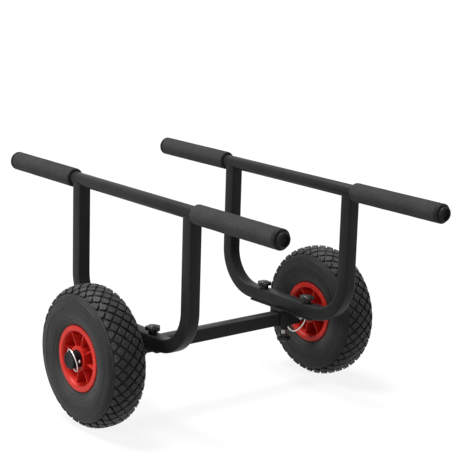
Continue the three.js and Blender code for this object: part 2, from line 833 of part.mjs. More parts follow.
// Star knob standing on z = 0, with its neck down
function knob() {
  const outline = new THREE.Shape();
  for (let i = 0; i < knobOutlineSteps; i += 1) {
    const angle = 2 * Math.PI * i / knobOutlineSteps;
    const radius = knobDiameter / 2 - knobLobeDepth * (1 - Math.cos(knobLobeCount * angle)) / 2;
    outline[i === 0 ? 'moveTo' : 'lineTo'](radius * Math.cos(angle), radius * Math.sin(angle));
  }
  const head = new THREE.ExtrudeGeometry(outline, {
    depth: knobHeadThickness - 2 * knobEdge,
    bevelSize: knobEdge,
    bevelOffset: -knobEdge,
    bevelThickness: knobEdge,
    bevelSegments: 1,
  });
  const headTop = knobNeckLength + knobHeadThickness;
  const neck = rod(0, knobNeckLength + joinOverlap, knobNeckDiameter, 'z', knobSegments);
  const dome = turned([
    [headTop - joinOverlap, 0],
    [headTop - joinOverlap, knobDomeDiameter / 2],
    [headTop, knobDomeDiameter / 2],
    [headTop + knobDomeHeight, knobDomeDiameter / 3],
    [headTop + knobDomeHeight, 0],
  ], 'z', knobSegments);
  return cut(
    join(head.translate(0, 0, knobNeckLength + knobEdge), neck, dome),
    rod(-cutOverrun, knobBoreDepth, studHoleDiameter, 'z', smallSegments),
  );
}

// The cart
const cart = new THREE.Group();

function piece(parent, name, geometry, material, x = 0, y = 0, z = 0) {
  const mesh = new THREE.Mesh(geometry, material);
  mesh.name = name;
  mesh.position.set(x, y, z);
  parent.add(mesh);
  return mesh;
}

function groupAt(x, z) {
  const group = new THREE.Group();
  group.position.set(x, 0, z);
  cart.add(group);
  return group;
}

const axle = groupAt(0, axleHeight);
piece(axle, 'axle_beam', beam(), blackPaint);

for (const [sideName, side, frameX] of [['left', -1, leftFrameX], ['right', 1, rightFrameX]]) {
  piece(axle, `axle_shaft_${sideName}`, shaft(side), blackPaint);
  piece(axle, `hub_spacer_${sideName}`, spacer(side), blackPaint);
  piece(axle, `axle_cap_${sideName}`, axleCap(side), blackPlastic);
  piece(axle, `axle_pin_${sideName}`, axlePin(side), brightZinc, side * axlePinX);
  piece(axle, `axle_pin_ring_${sideName}`, axleRing(side), brightZinc, side * axlePinX);

  const wheel = groupAt(side * wheelX, axleHeight);
  piece(wheel, `tyre_${sideName}`, tyre(), tyreRubber);
  piece(wheel, `inner_tube_${sideName}`, innerTube(side), tyreRubber);
  piece(wheel, `rim_${sideName}`, rim(side), redPlastic);
  piece(wheel, `valve_${sideName}`, valve(side), tyreRubber);
  piece(wheel, `outer_bush_${sideName}`, bush(side), blackPlastic);
  piece(wheel, `inner_bush_${sideName}`, bush(-side), blackPlastic);

  const frame = groupAt(side * frameX, 0);
  const pinX = side * sliderPinOffset;
  piece(frame, `slider_${sideName}`, slider(side), blackPaint, 0, 0, axleHeight);
  piece(frame, `slider_plate_${sideName}`, plate(side), blackPaint);
  piece(frame, `slider_pin_${sideName}`, sliderPin(), brightZinc, pinX, 0, axleHeight);
  piece(frame, `slider_pin_bow_${sideName}`, bow(side), brightZinc, pinX, 0, axleHeight);
  piece(frame, `cradle_frame_${sideName}`, cradleFrame(), blackPaint);
  piece(frame, `rail_${sideName}`, rail(), blackPaint, 0, 0, railHeight);

  const clampKnobZ = bossTopZ - bossLength - clampKnobDrop;
  const clampStudTop = axleHeight - beamSize / 2 - seatGap;
  const clampStud = rod(clampKnobZ - knobBoreDepth + seatGap, clampStudTop, studDiameter, 'z', smallSegments);
  const boss = ring(bossTopZ - bossLength, bossTopZ, studHoleDiameter, bossDiameter, 'z', tubeSegments);
  piece(frame, `clamp_boss_${sideName}`, boss, blackPaint);
  piece(frame, `clamp_stud_${sideName}`, clampStud, brightZinc);
  piece(frame, `clamp_knob_${sideName}`, knob().rotateX(Math.PI), blackPlastic, 0, 0, clampKnobZ);

  for (const [endName, end] of [['front', -1], ['rear', 1]]) {
    const stud = rod(plateBottomZ, frameTopZ + knobBoreDepth, studDiameter, 'z', smallSegments);
    piece(frame, `grip_${sideName}_${endName}`, grip(end), greyFoam, 0, 0, railHeight);
    piece(frame, `rail_cap_${sideName}_${endName}`, railCap(end), blackPlastic, 0, 0, railHeight);
    piece(frame, `frame_stud_${sideName}_${endName}`, stud, brightZinc, 0, end * knobY);
    piece(frame, `frame_knob_${sideName}_${endName}`, knob(), blackPlastic, 0, end * knobY, frameTopZ + seatGap);
  }
}

export default cart;
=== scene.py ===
import math

import bpy
from mathutils import Matrix, Vector, noise


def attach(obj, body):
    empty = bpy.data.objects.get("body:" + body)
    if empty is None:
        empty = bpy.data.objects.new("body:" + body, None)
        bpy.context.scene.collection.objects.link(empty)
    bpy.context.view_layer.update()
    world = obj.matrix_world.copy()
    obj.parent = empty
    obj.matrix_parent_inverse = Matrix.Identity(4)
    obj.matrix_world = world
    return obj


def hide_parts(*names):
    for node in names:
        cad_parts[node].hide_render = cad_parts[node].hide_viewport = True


# Kayak cart: axle beam along X, padded rails along Y, tyres on z = 0. Sizes below are in millimetres.
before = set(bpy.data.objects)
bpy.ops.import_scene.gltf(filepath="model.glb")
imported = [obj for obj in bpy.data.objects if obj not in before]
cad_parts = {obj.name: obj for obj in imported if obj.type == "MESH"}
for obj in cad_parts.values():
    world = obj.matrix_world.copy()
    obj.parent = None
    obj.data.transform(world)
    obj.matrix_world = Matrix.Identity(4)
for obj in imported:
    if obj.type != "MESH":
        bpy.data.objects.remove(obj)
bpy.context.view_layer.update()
mm = 0.001
weldDistance = 0.004
facing = 0.9  # the least part of a normal along an axis where a polygon counts as facing along it
noise.seed_set(3)  # for the ripple of the welds
cart = {"axle": 130, "wheel": 274.5, "frame": 189, "rightShift": -10, "rail": 413.7, "knob": 64}
axleLine = Vector((0, 0, cart["axle"]))
wheelMiddle = Vector((-cart["wheel"], 0, cart["axle"]))
railLine = Vector((-cart["frame"], 0, cart["rail"]))


# Small modelling tools
def restart():
    if bpy.context.object and bpy.context.object.mode != "OBJECT":
        bpy.ops.object.mode_set(mode="OBJECT")
    bpy.ops.object.select_all(action="DESELECT")


def pick(*pieces):
    restart()
    for piece in pieces:
        piece.select_set(True)
    bpy.context.view_layer.objects.active = pieces[0]


def named(name):
    piece = bpy.context.object
    piece.name = name
    piece.data.name = name
    return piece


def selectAll():
    bpy.ops.mesh.select_all(action="SELECT")


def faceOutward():
    bpy.ops.mesh.normals_make_consistent(inside=False)


def edit(mode="VERT"):
    bpy.ops.object.mode_set(mode="EDIT")
    bpy.ops.mesh.select_mode(type=mode)
    selectAll()


def done():
    bpy.ops.object.mode_set(mode="OBJECT")


def selectWhere(kind, wanted):
    # wanted is asked of a polygon's middle and normal, or of an edge's two ends
    mode = {"edges": "EDGE", "polygons": "FACE"}[kind]
    bpy.ops.mesh.select_mode(type=mode)
    bpy.ops.mesh.select_all(action="DESELECT")
    bpy.ops.object.mode_set(mode="OBJECT")
    mesh = bpy.context.object.data
    for item in getattr(mesh, kind):
        if kind == "polygons":
            item.select = wanted(item.center, item.normal)
        else:
            item.select = wanted(*[mesh.vertices[i].co for i in item.vertices])
    bpy.ops.object.mode_set(mode="EDIT")


def applyPlace(piece):
    pick(piece)
    bpy.ops.object.transform_apply(location=True, rotation=True, scale=True)


def tidyMesh():
    selectAll()
    bpy.ops.mesh.remove_doubles(threshold=weldDistance * mm)
    faceOutward()


def applied(piece, kind, **settings):
    pick(piece)
    bpy.ops.object.modifier_add(type=kind)
    modifier = piece.modifiers[-1]
    for key, value in settings.items():
        setattr(modifier, key, value)
    bpy.ops.object.modifier_apply(modifier=modifier.name)
    return piece


def rounded(piece, width, segments=2, angle=30):
    settings = {"width": width * mm, "segments": segments, "angle_limit": math.radians(angle)}
    return applied(piece, "BEVEL", limit_method="ANGLE", **settings)


def smoothed(piece, angle=32):
    pick(piece)
    bpy.ops.object.shade_smooth_by_angle(angle=math.radians(angle))
    return piece


def cutAway(piece, other, operation="DIFFERENCE"):
    applied(piece, "BOOLEAN", operation=operation, solver="EXACT", object=other)
    bpy.data.objects.remove(other)
    return piece


def fused(piece, other):
    return cutAway(piece, other, "UNION")


def joined(piece, *others):
    pick(piece, *others)
    bpy.ops.object.join()
    return piece


def copied(piece, name, shift=(0, 0, 0)):
    pick(piece)
    bpy.ops.object.duplicate()
    twin = named(name)
    bpy.ops.transform.translate(value=Vector(shift) * mm)
    applyPlace(twin)
    return twin


def mirrored(piece, name, axis, shift=(0, 0, 0)):
    twin = copied(piece, name)
    twin.scale["XYZ".index(axis)] = -1
    twin.location = Vector(shift) * mm
    applyPlace(twin)
    edit()
    faceOutward()
    done()
    return twin


def outlineAt(points):
    # a chain of edges drawn from one vertex, in metres
    restart()
    bpy.ops.mesh.primitive_plane_add(size=mm)
    piece = bpy.context.object
    edit()
    bpy.ops.mesh.merge(type="CENTER")
    bpy.ops.transform.translate(value=points[0])
    for last, point in zip(points, points[1:]):
        bpy.ops.mesh.extrude_region_move(TRANSFORM_OT_translate={"value": point - last})
    return piece


def turned(name, outline, axis, centre=(0, 0, 0), steps=64, bevel=0, side=1):
    # outline is a list of (along the axis, radius); it starts and ends on the axis or is closed here
    middle = Vector(centre) * mm
    forward = Vector([float(axis == letter) for letter in "XYZ"])
    out = Vector((1, 0, 0)) if axis == "Z" else Vector((0, 0, 1))
    points = [middle + forward * (side * along * mm) + out * (radius * mm) for along, radius in outline]
    if outline[0][1] > 0:
        points.append(points[0])
    piece = outlineAt(points)
    named(name)
    selectAll()
    bpy.ops.mesh.spin(steps=steps, angle=2 * math.pi, center=middle, axis=forward)
    tidyMesh()
    done()
    if bevel:
        rounded(piece, bevel)
    return smoothed(piece)


def sleeve(name, sizes, start, end, axis, centre, **settings):
    outline = [(start, sizes["bore"]), (start, sizes["radius"]), (end, sizes["radius"]), (end, sizes["bore"])]
    return turned(name, outline, axis, centre, bevel=sizes["bevel"], **settings)


def arc(along, radius, size, first, last, steps):
    # outline points round the middle (along, radius), between two angles in degrees
    turns = [math.radians(first + (last - first) * i / steps) for i in range(steps + 1)]
    return [(along + size * math.cos(turn), radius + size * math.sin(turn)) for turn in turns]


def rodCutter(axis, centre, radius, reach, vertices=32):
    restart()
    turn = {"X": (0, math.pi / 2, 0), "Y": (math.pi / 2, 0, 0), "Z": (0, 0, 0)}[axis]
    bpy.ops.mesh.primitive_cylinder_add(
        vertices=vertices,
        radius=radius * mm,
        depth=2 * reach * mm,
        location=Vector(centre) * mm,
        rotation=turn,
    )
    cutter = bpy.context.object
    applyPlace(cutter)
    return cutter


def tubeEnd(name, sizes, centre, turn):
    # the ring-shaped end face of a square tube, selected and ready to extrude
    restart()
    place = Vector(centre) * mm
    bpy.ops.mesh.primitive_plane_add(size=sizes["size"] * mm, location=place, rotation=turn)
    piece = named(name)
    applyPlace(piece)
    edit()
    bpy.ops.mesh.bevel(offset=sizes["corner"] * mm, segments=4, affect="VERTICES")
    bpy.ops.mesh.select_mode(type="FACE")
    selectAll()
    bpy.ops.mesh.inset(thickness=sizes["wall"] * mm, use_even_offset=True)
    bpy.ops.mesh.delete(type="FACE")
    selectAll()
    return piece


def pull(*shift):
    bpy.ops.mesh.extrude_region_move(TRANSFORM_OT_translate={"value": Vector(shift) * mm})


def wireAlong(name, points, diameter, sides=6, closed=False):
    # a round wire through the points, with a mesh of its own
    restart()
    bpy.ops.curve.primitive_bezier_curve_add()
    piece = named(name)
    curve = piece.data
    curve.splines.clear()
    spline = curve.splines.new("POLY")
    spline.points.add(len(points) - 1)
    for target, point in zip(spline.points, points):
        target.co = (*(Vector(point) * mm), 1)
    spline.use_cyclic_u = closed
    curve.dimensions = "3D"
    curve.bevel_depth = diameter / 2 * mm
    curve.bevel_resolution = sides
    curve.use_fill_caps = True
    bpy.ops.object.convert(target="MESH")
    piece = named(name)
    applyPlace(piece)
    edit()
    tidyMesh()
    done()
    return smoothed(piece, 50)


def eased(points, rounds=2):
    # corners of an open chain rounded off by cutting them again and again
    for _ in range(rounds):
        made = [points[0]]
        for a, b in zip(points, points[1:]):
            made += [a * 0.75 + b * 0.25, a * 0.25 + b * 0.75]
        points = made + [points[-1]]
    return points


# Shader maths
class Socket:
    def __init__(self, finish, link):
        self.finish = finish
        self.link = link

    def maths(self, operation, *others, swap=False):
        terms = [self, *others]
        if swap:
            terms.reverse()
        return self.finish.node("Math", {"operation": operation}, dict(enumerate(terms)))

    def __add__(self, other):
        return self.maths("ADD", other)

    def __sub__(self, other):
        return self.maths("SUBTRACT", other)

    def __mul__(self, other):
        return self.maths("MULTIPLY", other)

    def __pow__(self, other):
        return self.maths("POWER", other)

    def __radd__(self, other):
        return self.maths("ADD", other, swap=True)

    def __rsub__(self, other):
        return self.maths("SUBTRACT", other, swap=True)

    def between(self, low, high):
        # 0 below low, 1 above high, with a soft step from one to the other
        values = {"Value": self, "From Min": low, "From Max": high}
        return self.finish.node("MapRange", {"interpolation_type": "SMOOTHSTEP"}, values)


class Shading:
    def __init__(self, tree):
        self.tree = tree

    def node(self, kind, settings, values, outlet=0):
        made = self.tree.nodes.new("ShaderNode" + kind)
        for key, value in settings.items():
            setattr(made, key, value)
        for key, value in values.items():
            self.feed(made.inputs[key], value)
        return Socket(self, made.outputs[outlet])

    def feed(self, target, value):
        if isinstance(value, Socket):
            self.tree.links.new(value.link, target)
        elif hasattr(value, "__len__") and len(value) == 3 and target.type == "RGBA":
            target.default_value = (*value, 1)
        else:
            target.default_value = value

    def seenRay(self):
        # 1 for rays from the camera and for those mirrored or let through
        rays = ("Is Camera Ray", "Is Glossy Ray", "Is Transmission Ray")
        first, second, third = [self.node("LightPath", {}, {}, ray) for ray in rays]
        return first.maths("MAXIMUM", second).maths("MAXIMUM", third)


class Finish(Shading):
    def __init__(self, name):
        self.material = bpy.data.materials.new(name)
        self.material.use_nodes = True
        super().__init__(self.material.node_tree)
        self.shader = self.tree.nodes["Principled BSDF"]
        self.place = self.node("TexCoord", {}, {}, "Object")

    def cloud(self, size, detail=3, rough=0.5, place=None):
        # noise with patches of about that size in millimetres
        values = {"Vector": place or self.place, "Scale": 1 / (size * mm)}
        return self.node("TexNoise", {}, {**values, "Detail": detail, "Roughness": rough})

    def cells(self, size):
        return self.node("TexVoronoi", {}, {"Vector": self.place, "Scale": 1 / (size * mm)})

    def mixed(self, share, first, second):
        return self.node("Mix", {"data_type": "RGBA"}, {0: share, 6: first, 7: second}, 2)

    def relief(self, height, depth):
        # depth is the height in millimetres of what goes from 0 to 1
        return self.node("Bump", {}, {"Height": height, "Distance": depth * mm, "Strength": 1})

    def set(self, **values):
        names = {"colour": "Base Color", "rough": "Roughness", "metal": "Metallic", "normal": "Normal"}
        names["gloss"] = "Specular IOR Level"
        for key, value in values.items():
            self.feed(self.shader.inputs[names[key]], value)
        return self.material


# Colours are linear; drift, scuff and grain are (size in millimetres, detail, roughness) of a noise,
# cells is the size of a grain of cells, and rough is (least, by the drift, by the scuffs or the grain)
looks = {
    "black_paint": {
        "name": "powder coat", "drift": (60, 3), "scuff": (7, 5, 0.7), "scuffRange": (0.56, 0.78),
        "dark": (0.012, 0.012, 0.013), "light": (0.017, 0.017, 0.018), "worn": (0.05, 0.05, 0.05),
        "wornShare": 0.3, "grain": (1.6, 2), "relief": 0.05, "rough": (0.34, 0.12, 0.15), "gloss": 0.1,
    },
    "black_plastic": {
        "name": "moulded black plastic", "drift": (25, 4), "scuff": (4, 5, 0.7), "scuffRange": (0.58, 0.8),
        "dark": (0.010, 0.010, 0.011), "light": (0.014, 0.014, 0.015), "worn": (0.022, 0.022, 0.022),
        "wornShare": 0.4, "cells": 0.9, "relief": 0.03, "rough": (0.42, 0.14, 0.12), "gloss": 0.1,
    },
    "red_plastic": {
        "name": "moulded red plastic", "drift": (30, 4, 0.6), "scuff": (5, 6, 0.7), "scuffRange": (0.6, 0.8),
        "dark": (0.54, 0.018, 0.012), "light": (0.63, 0.030, 0.020), "worn": (0.56, 0.10, 0.08),
        "wornShare": 0.25, "cells": 0.8, "relief": 0.02, "rough": (0.34, 0.14, 0.12), "gloss": 0.2,
    },
    "tube_rubber": {
        "name": "inner tube rubber", "drift": (12, 4), "grain": (0.8, 3), "relief": 0.04,
        "dark": (0.012, 0.012, 0.013), "light": (0.018, 0.018, 0.019), "rough": (0.5, 0.2, 0), "gloss": 0.5,
    },
    "bright_zinc": {
        "name": "bright zinc", "drift": (6, 4), "grain": (0.7, 3), "relief": 0.01, "metal": 1,
        "dark": (0.60, 0.61, 0.62), "light": (0.68, 0.66, 0.60), "rough": (0.2, 0.14, 0.1), "gloss": 0.5,
    },
}
looks["knob_plastic"] = {
    **looks["black_plastic"], "name": "polished black plastic", "rough": (0.2, 0.14, 0.12), "gloss": 0.3
}
driftRange = (0.3, 0.7)


def plainFinish(look):
    finish = Finish(look["name"])
    drift = finish.cloud(*look["drift"])
    grain = wear = finish.cells(look["cells"]) if "cells" in look else finish.cloud(*look["grain"])
    colour = finish.mixed(drift.between(*driftRange), look["dark"], look["light"])
    if "scuff" in look:
        wear = finish.cloud(*look["scuff"]).between(*look["scuffRange"])
        colour = finish.mixed(wear * look["wornShare"], colour, look["worn"])
    least, byDrift, byWear = look["rough"]
    rough = least + drift * byDrift + wear * byWear
    normal = finish.relief(grain, look["relief"])
    finish.set(gloss=look["gloss"], metal=look.get("metal", 0))
    return finish.set(colour=colour, rough=rough, normal=normal)


foam = {"dark": (0.034, 0.034, 0.035), "light": (0.044, 0.044, 0.045), "pore": (0.07, 0.071, 0.071)}
foam.update(cells=1.5, skin=(3.5, 4, 0.6), drift=(45, 3), poreRange=(0.45, 0.8), poreShare=0.5)
foam.update(poreHeight=0.6, relief=0.16, rough=0.82, roughBySkin=0.14, gloss=0.05)


def greyFoam():
    finish = Finish("closed cell foam")
    pores = finish.cells(foam["cells"])
    skin = finish.cloud(*foam["skin"])
    colour = finish.mixed(finish.cloud(*foam["drift"]).between(*driftRange), foam["dark"], foam["light"])
    colour = finish.mixed(pores.between(*foam["poreRange"]) * foam["poreShare"], colour, foam["pore"])
    normal = finish.relief(pores * foam["poreHeight"] + skin, foam["relief"])
    rough = foam["rough"] + skin * foam["roughBySkin"]
    return finish.set(colour=colour, rough=rough, normal=normal, gloss=foam["gloss"])


rubber = {"dark": (0.010, 0.010, 0.011), "light": (0.021, 0.021, 0.022), "patch": (0.012, 0.012, 0.013)}
# inner is a painted sheen: the side wall is made lighter near the rim, fading out from innerFrom to innerTo
# millimetres from the axle
rubber.update(dust=(0.06, 0.06, 0.058), inner=(0.07, 0.068, 0.062), top=(0.095, 0.095, 0.097))
# groove is painted shade: a darker colour where the relief is low, in the grooves; the nubs get it too
rubber.update(speck=(0.010, 0.010, 0.010), groove=(0.006, 0.006, 0.006), innerFrom=70, innerTo=92)
rubber.update(patchShare=0.4, dustShare=0.26, innerShare=0.5, topShare=0.15, dustyTop=0.7, speckShare=0.8)
rubber.update(streakSize=(20, 5, 0.65), grainSize=(1.1, 4, 0.6), speckSize=(2.6, 4, 0.7))
rubber.update(patchSize=(38, 4, 0.6), dustSize=(9, 6, 0.7), acrossStretch=6, roundStretch=0.5)
rubber.update(patchRange=(0.5, 0.75), speckRange=(0.5, 0.7), topRange=(0.6, 1), grooveRange=(0, 0.45))
rubber.update(rough=0.42, roughShare=0.12, relief=0.25, gloss=0.16)


def tyreRubber():
    finish = Finish("tyre rubber")
    split = finish.tree.nodes.new("ShaderNodeSeparateXYZ")
    finish.feed(split.inputs["Vector"], finish.place)
    forward, up = [Socket(finish, split.outputs[axis]) for axis in "YZ"]
    height = up - cart["axle"] * mm
    radius = (forward * forward + height * height) ** 0.5
    # stretched so that the streaks run round the tyre
    rings = {"X": radius * rubber["acrossStretch"]}
    rings.update(Y=forward * rubber["roundStretch"], Z=height * rubber["roundStretch"])
    streak = finish.cloud(*rubber["streakSize"], finish.node("CombineXYZ", {}, rings))
    grain = finish.cloud(*rubber["grainSize"])
    speck = finish.cloud(*rubber["speckSize"]).between(*rubber["speckRange"])
    drift = finish.cloud(*rubber["patchSize"])
    patch = drift.between(*rubber["patchRange"])
    dust = finish.cloud(*rubber["dustSize"]).between(*rubber["patchRange"])
    relief = finish.node("Attribute", {"attribute_name": "relief"}, {}, "Fac")
    # painted sheen: a lighter band on the side wall near the rim
    inner = 1 - radius.between(rubber["innerFrom"] * mm, rubber["innerTo"] * mm)
    top = relief.between(*rubber["topRange"])
    # painted shade on the grooves' floors and on the nubs, where the relief is low
    groove = 1 - relief.between(*rubber["grooveRange"])
    colour = finish.mixed(streak.between(*driftRange), rubber["dark"], rubber["light"])
    for share, layer in (
        (patch * rubber["patchShare"], "patch"),
        (dust * rubber["dustShare"], "dust"),
        (inner * streak * rubber["innerShare"], "inner"),
        (top * (rubber["topShare"] + dust * rubber["dustyTop"]), "top"),
        (top * speck * rubber["speckShare"], "speck"),
        (groove, "groove"),
    ):
        colour = finish.mixed(share, colour, rubber[layer])
    rough = rubber["rough"] + drift * rubber["roughShare"] + dust * rubber["roughShare"]
    normal = finish.relief(grain + speck * top, rubber["relief"])
    return finish.set(colour=colour, rough=rough, normal=normal, gloss=rubber["gloss"])


finishes = {name: plainFinish(look) for name, look in looks.items()}
finishes.update(grey_foam=greyFoam(), tyre_rubber=tyreRubber())


def settle(piece, finish, body, node, look=None):
    # the piece takes its finish, rides on its body and stands for its solid
    piece.data.materials.clear()
    piece.data.materials.append(finishes[look or finish])
    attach(piece, body)
    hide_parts(node)
    return piece


print("finishes made")

# Axle beam and shafts
beam = {"size": 25, "wall": 2, "corner": 2.5, "end": 236, "slotFrom": 168, "slotTo": 218.5, "slotHeight": 7}
beam.update(cutReach=20, roundShare=0.998)


def slotCutter(side):
    restart()
    middle = Vector((side * (beam["slotFrom"] + beam["slotTo"]) / 2, 0, cart["axle"])) * mm
    bpy.ops.mesh.primitive_plane_add(size=1, location=middle, rotation=(math.pi / 2, 0, 0))
    cutter = bpy.context.object
    cutter.scale = ((beam["slotTo"] - beam["slotFrom"]) * mm, beam["slotHeight"] * mm, 1)
    applyPlace(cutter)
    edit()
    ends = beam["slotHeight"] / 2 * beam["roundShare"] * mm
    bpy.ops.mesh.bevel(offset=ends, segments=8, affect="VERTICES")
    selectAll()
    bpy.ops.transform.translate(value=(0, -beam["cutReach"] * mm, 0))
    pull(0, 2 * beam["cutReach"], 0)
    tidyMesh()
    done()
    return cutter


def makeBeam():
    piece = tubeEnd("axleBeam", beam, (-beam["end"], 0, cart["axle"]), (0, math.pi / 2, 0))
    pull(2 * beam["end"], 0, 0)
    tidyMesh()
    done()
    for side in (-1, 1):
        cutAway(piece, slotCutter(side))
    smoothed(piece)
    settle(piece, "black_paint", "axle", "axle_beam")


shaft = {"spigot": 10.2, "spigotFrom": 220, "collar": 17, "collarFrom": 236.3, "collarTo": 239.3}
shaft.update(radius=12.5, end=322.3, pin=312.8, pinHole=3.3, cutReach=20, bevel=0.6)


def pinDrilled(piece):
    cutAway(piece, rodCutter("Y", (-shaft["pin"], 0, cart["axle"]), shaft["pinHole"], shaft["cutReach"]))
    return smoothed(piece)


def makeShaft():
    return pinDrilled(turned("leftShaft", [
        (shaft["spigotFrom"], 0),
        (shaft["spigotFrom"], shaft["spigot"]),
        (shaft["collarFrom"], shaft["spigot"]),
        (shaft["collarFrom"], shaft["collar"]),
        (shaft["collarTo"], shaft["collar"]),
        (shaft["collarTo"], shaft["radius"]),
        (shaft["end"], shaft["radius"]),
        (shaft["end"], 0),
    ], "X", axleLine, side=-1, bevel=shaft["bevel"]))


spacer = {"from": 239.6, "to": 241.2, "bore": 12.8, "radius": 16, "bevel": 0.3}


def makeSpacer():
    return sleeve("leftSpacer", spacer, spacer["from"], spacer["to"], "X", axleLine, side=-1)


axleCap = {"from": 307.8, "to": 325.8, "bore": 12.8, "radius": 16, "floor": 3.2}
axleCap.update(chamfer=1.4, dish=0.7, rim=3, bevel=0.4)


def makeAxleCap():
    dish = axleCap["to"] - axleCap["dish"]
    return pinDrilled(turned("leftAxleCap", [
        (axleCap["from"], axleCap["bore"]),
        (axleCap["from"], axleCap["radius"]),
        (axleCap["to"] - axleCap["chamfer"], axleCap["radius"]),
        (axleCap["to"], axleCap["radius"] - axleCap["chamfer"]),
        (axleCap["to"], axleCap["radius"] - axleCap["rim"]),
        (dish, axleCap["radius"] - axleCap["rim"] - axleCap["dish"]),
        (dish, 0),
        (axleCap["to"] - axleCap["floor"], 0),
        (axleCap["to"] - axleCap["floor"], axleCap["bore"]),
    ], "X", axleLine, side=-1, bevel=axleCap["bevel"]))


# Pins along Y: a tip at the front, a drilled head at the rear
pinShape = {"radius": 3, "drill": 1.6, "drillReach": 22, "tipChamfer": 1.2, "headGap": 0.3, "steps": 48}
pinShape.update(headChamfer=0.8, domeShares=((0.72, 1), (0.92, 0.9), (1, 0.7)), bevel=0.3)
axlePin = {"name": "leftAxlePin", "x": -312.8, "half": 16, "tip": 2.3, "headRadius": 4.5, "head": 6}
axlePin.update(drillY=19.3, drillTilt=15)
sliderPin = {"name": "leftSliderPin", "x": -210, "half": 15, "tip": 15, "headRadius": 6, "head": 11}
sliderPin.update(drillY=20.8, drillTilt=90)


def makePin(pin):
    start = -(pin["half"] + pin["tip"])
    seat = pin["half"] + pinShape["headGap"]
    outline = [
        (start, 0),
        (start, pinShape["radius"] - pinShape["tipChamfer"]),
        (start + pinShape["tipChamfer"], pinShape["radius"]),
        (seat, pinShape["radius"]),
        (seat, pin["headRadius"] - pinShape["headChamfer"]),
        (seat + pinShape["headChamfer"], pin["headRadius"]),
    ]
    dome = pinShape["domeShares"]
    outline += [(seat + pin["head"] * along, pin["headRadius"] * out) for along, out in dome]
    outline.append((seat + pin["head"], 0))
    centre = (pin["x"], 0, cart["axle"])
    piece = turned(pin["name"], outline, "Y", centre, pinShape["steps"], bevel=pinShape["bevel"])
    cutter = rodCutter("Z", (0, 0, 0), pinShape["drill"], pinShape["drillReach"])
    cutter.rotation_euler = (0, -math.radians(pin["drillTilt"]), 0)
    cutter.location = Vector((pin["x"], pin["drillY"], cart["axle"])) * mm
    applyPlace(cutter)
    return smoothed(cutAway(piece, cutter))


pinRing = {"diameter": 2.6, "radius": 20.8, "chord": 5.46, "lean": 12.5, "endGap": 1.2, "steps": 56}


def makePinRing():
    radius = pinRing["radius"]
    toChord = math.sqrt(radius ** 2 - pinRing["chord"] ** 2)
    tilt = math.radians(axlePin["drillTilt"])
    along = Vector((-math.sin(tilt), 0, math.cos(tilt)))
    out = Matrix.Rotation(-math.radians(pinRing["lean"]), 3, along) @ Vector((0, -1, 0))
    hinge = Vector((axlePin["x"], axlePin["drillY"], cart["axle"]))
    start = math.atan2(-toChord, pinRing["chord"])
    sweep = math.pi - 2 * start
    points = [hinge + along * pinRing["endGap"]]
    for step in range(pinRing["steps"] + 1):
        angle = start + sweep * step / pinRing["steps"]
        forward = toChord + radius * math.sin(angle)
        points.append(hinge + along * (radius * math.cos(angle)) + out * forward)
    points.append(hinge - along * pinRing["endGap"])
    return wireAlong("leftPinRing", eased(points, 1), pinRing["diameter"])


bow = {"diameter": 2.6, "offset": 8, "peg": 3.5, "frontY": -31.6, "drop": 36, "lean": 13, "steps": 24}


def makeBow():
    hingeY = sliderPin["drillY"]
    middle = (hingeY + bow["frontY"]) / 2
    half = (hingeY - bow["frontY"]) / 2
    points = [Vector((sliderPin["x"] + bow["peg"], hingeY, cart["axle"]))]
    for step in range(bow["steps"] + 1):
        angle = math.pi * step / bow["steps"]
        y = middle + half * math.cos(angle) + bow["lean"] * math.sin(angle)
        z = cart["axle"] - bow["drop"] * math.sin(angle)
        points.append(Vector((sliderPin["x"] - bow["offset"], y, z)))
    points.append(Vector((sliderPin["x"] + bow["peg"], bow["frontY"], cart["axle"])))
    return wireAlong("leftBow", eased(points), bow["diameter"])


# Wheels
tyre = {"radius": 130, "halfWidth": 40.3, "middle": 86, "above": 44, "power": 0.75, "below": 39}
tyre.update(lowest=-37, wall=6, beadFace=29.25, beadWidth=6.5, seat=52.8, beadTop=58, crease=30.75)
tyre.update(flange=61.05, steps=144, samples=1200, crowding=1.6, normalReach=12, crownHalf=0.8)
tyre.update(stopEvery=3.3, lastGap=1.5, innerFrom=-10, innerStep=10)
# edge, rampFrom, rampTo and dropTo are measured along the section from the crown
tread = {"depth": 3, "pitches": 36, "rows": 3, "row": 10.9, "groove": 2.9, "sunk": 1, "bevel": 0.7}
tread.update(edge=36, rampFrom=34.5, rampTo=38, drop=1.3, dropTo=50, cornerFrom=0.9, cornerShare=0.9)
# the raised lines round a side wall: (distance from the crown, height, half width)
ridges = ((43, 0.9, 1.0), (47, 0.7, 0.8), (62, 0.5, 0.8), (84, 0.6, 1.2), (90, 0.5, 1.0))
# its rings are (distance from the crown, count, turn as a share of the pitch)
nub = {"radius": 0.9, "tipShare": 0.6, "height": 0.9, "sunk": 0.6, "rings": ((63, 14, 0.1), (80, 10, 0.35))}
# how high a point stands, as the rubber's finish reads it: 1 on a block's top and 0 in a groove, where the
# finish paints shade; the nubs are marked low, so they take the same dark colour
reliefOf = {"sideWall": 0.5, "nub": 0.1}


def sectionPoint(angle, inset=0):
    power, height = (1, inset - tyre["below"]) if angle < 0 else (tyre["power"], tyre["above"] - inset)
    across = max(math.cos(angle), 0) ** power
    away = abs(math.sin(angle)) ** power
    return Vector(((tyre["halfWidth"] - inset) * across, tyre["middle"] + height * away))


def sectionTable():
    # places down the section from the crown, with the distance covered at each
    table = [(0.0, sectionPoint(math.pi / 2))]
    lowest = math.radians(tyre["lowest"])
    for step in range(1, tyre["samples"] + 1):
        share = (step / tyre["samples"]) ** tyre["crowding"]
        point = sectionPoint(math.pi / 2 + (lowest - math.pi / 2) * share)
        table.append((table[-1][0] + (point - table[-1][1]).length, point))
    return table


section = sectionTable()


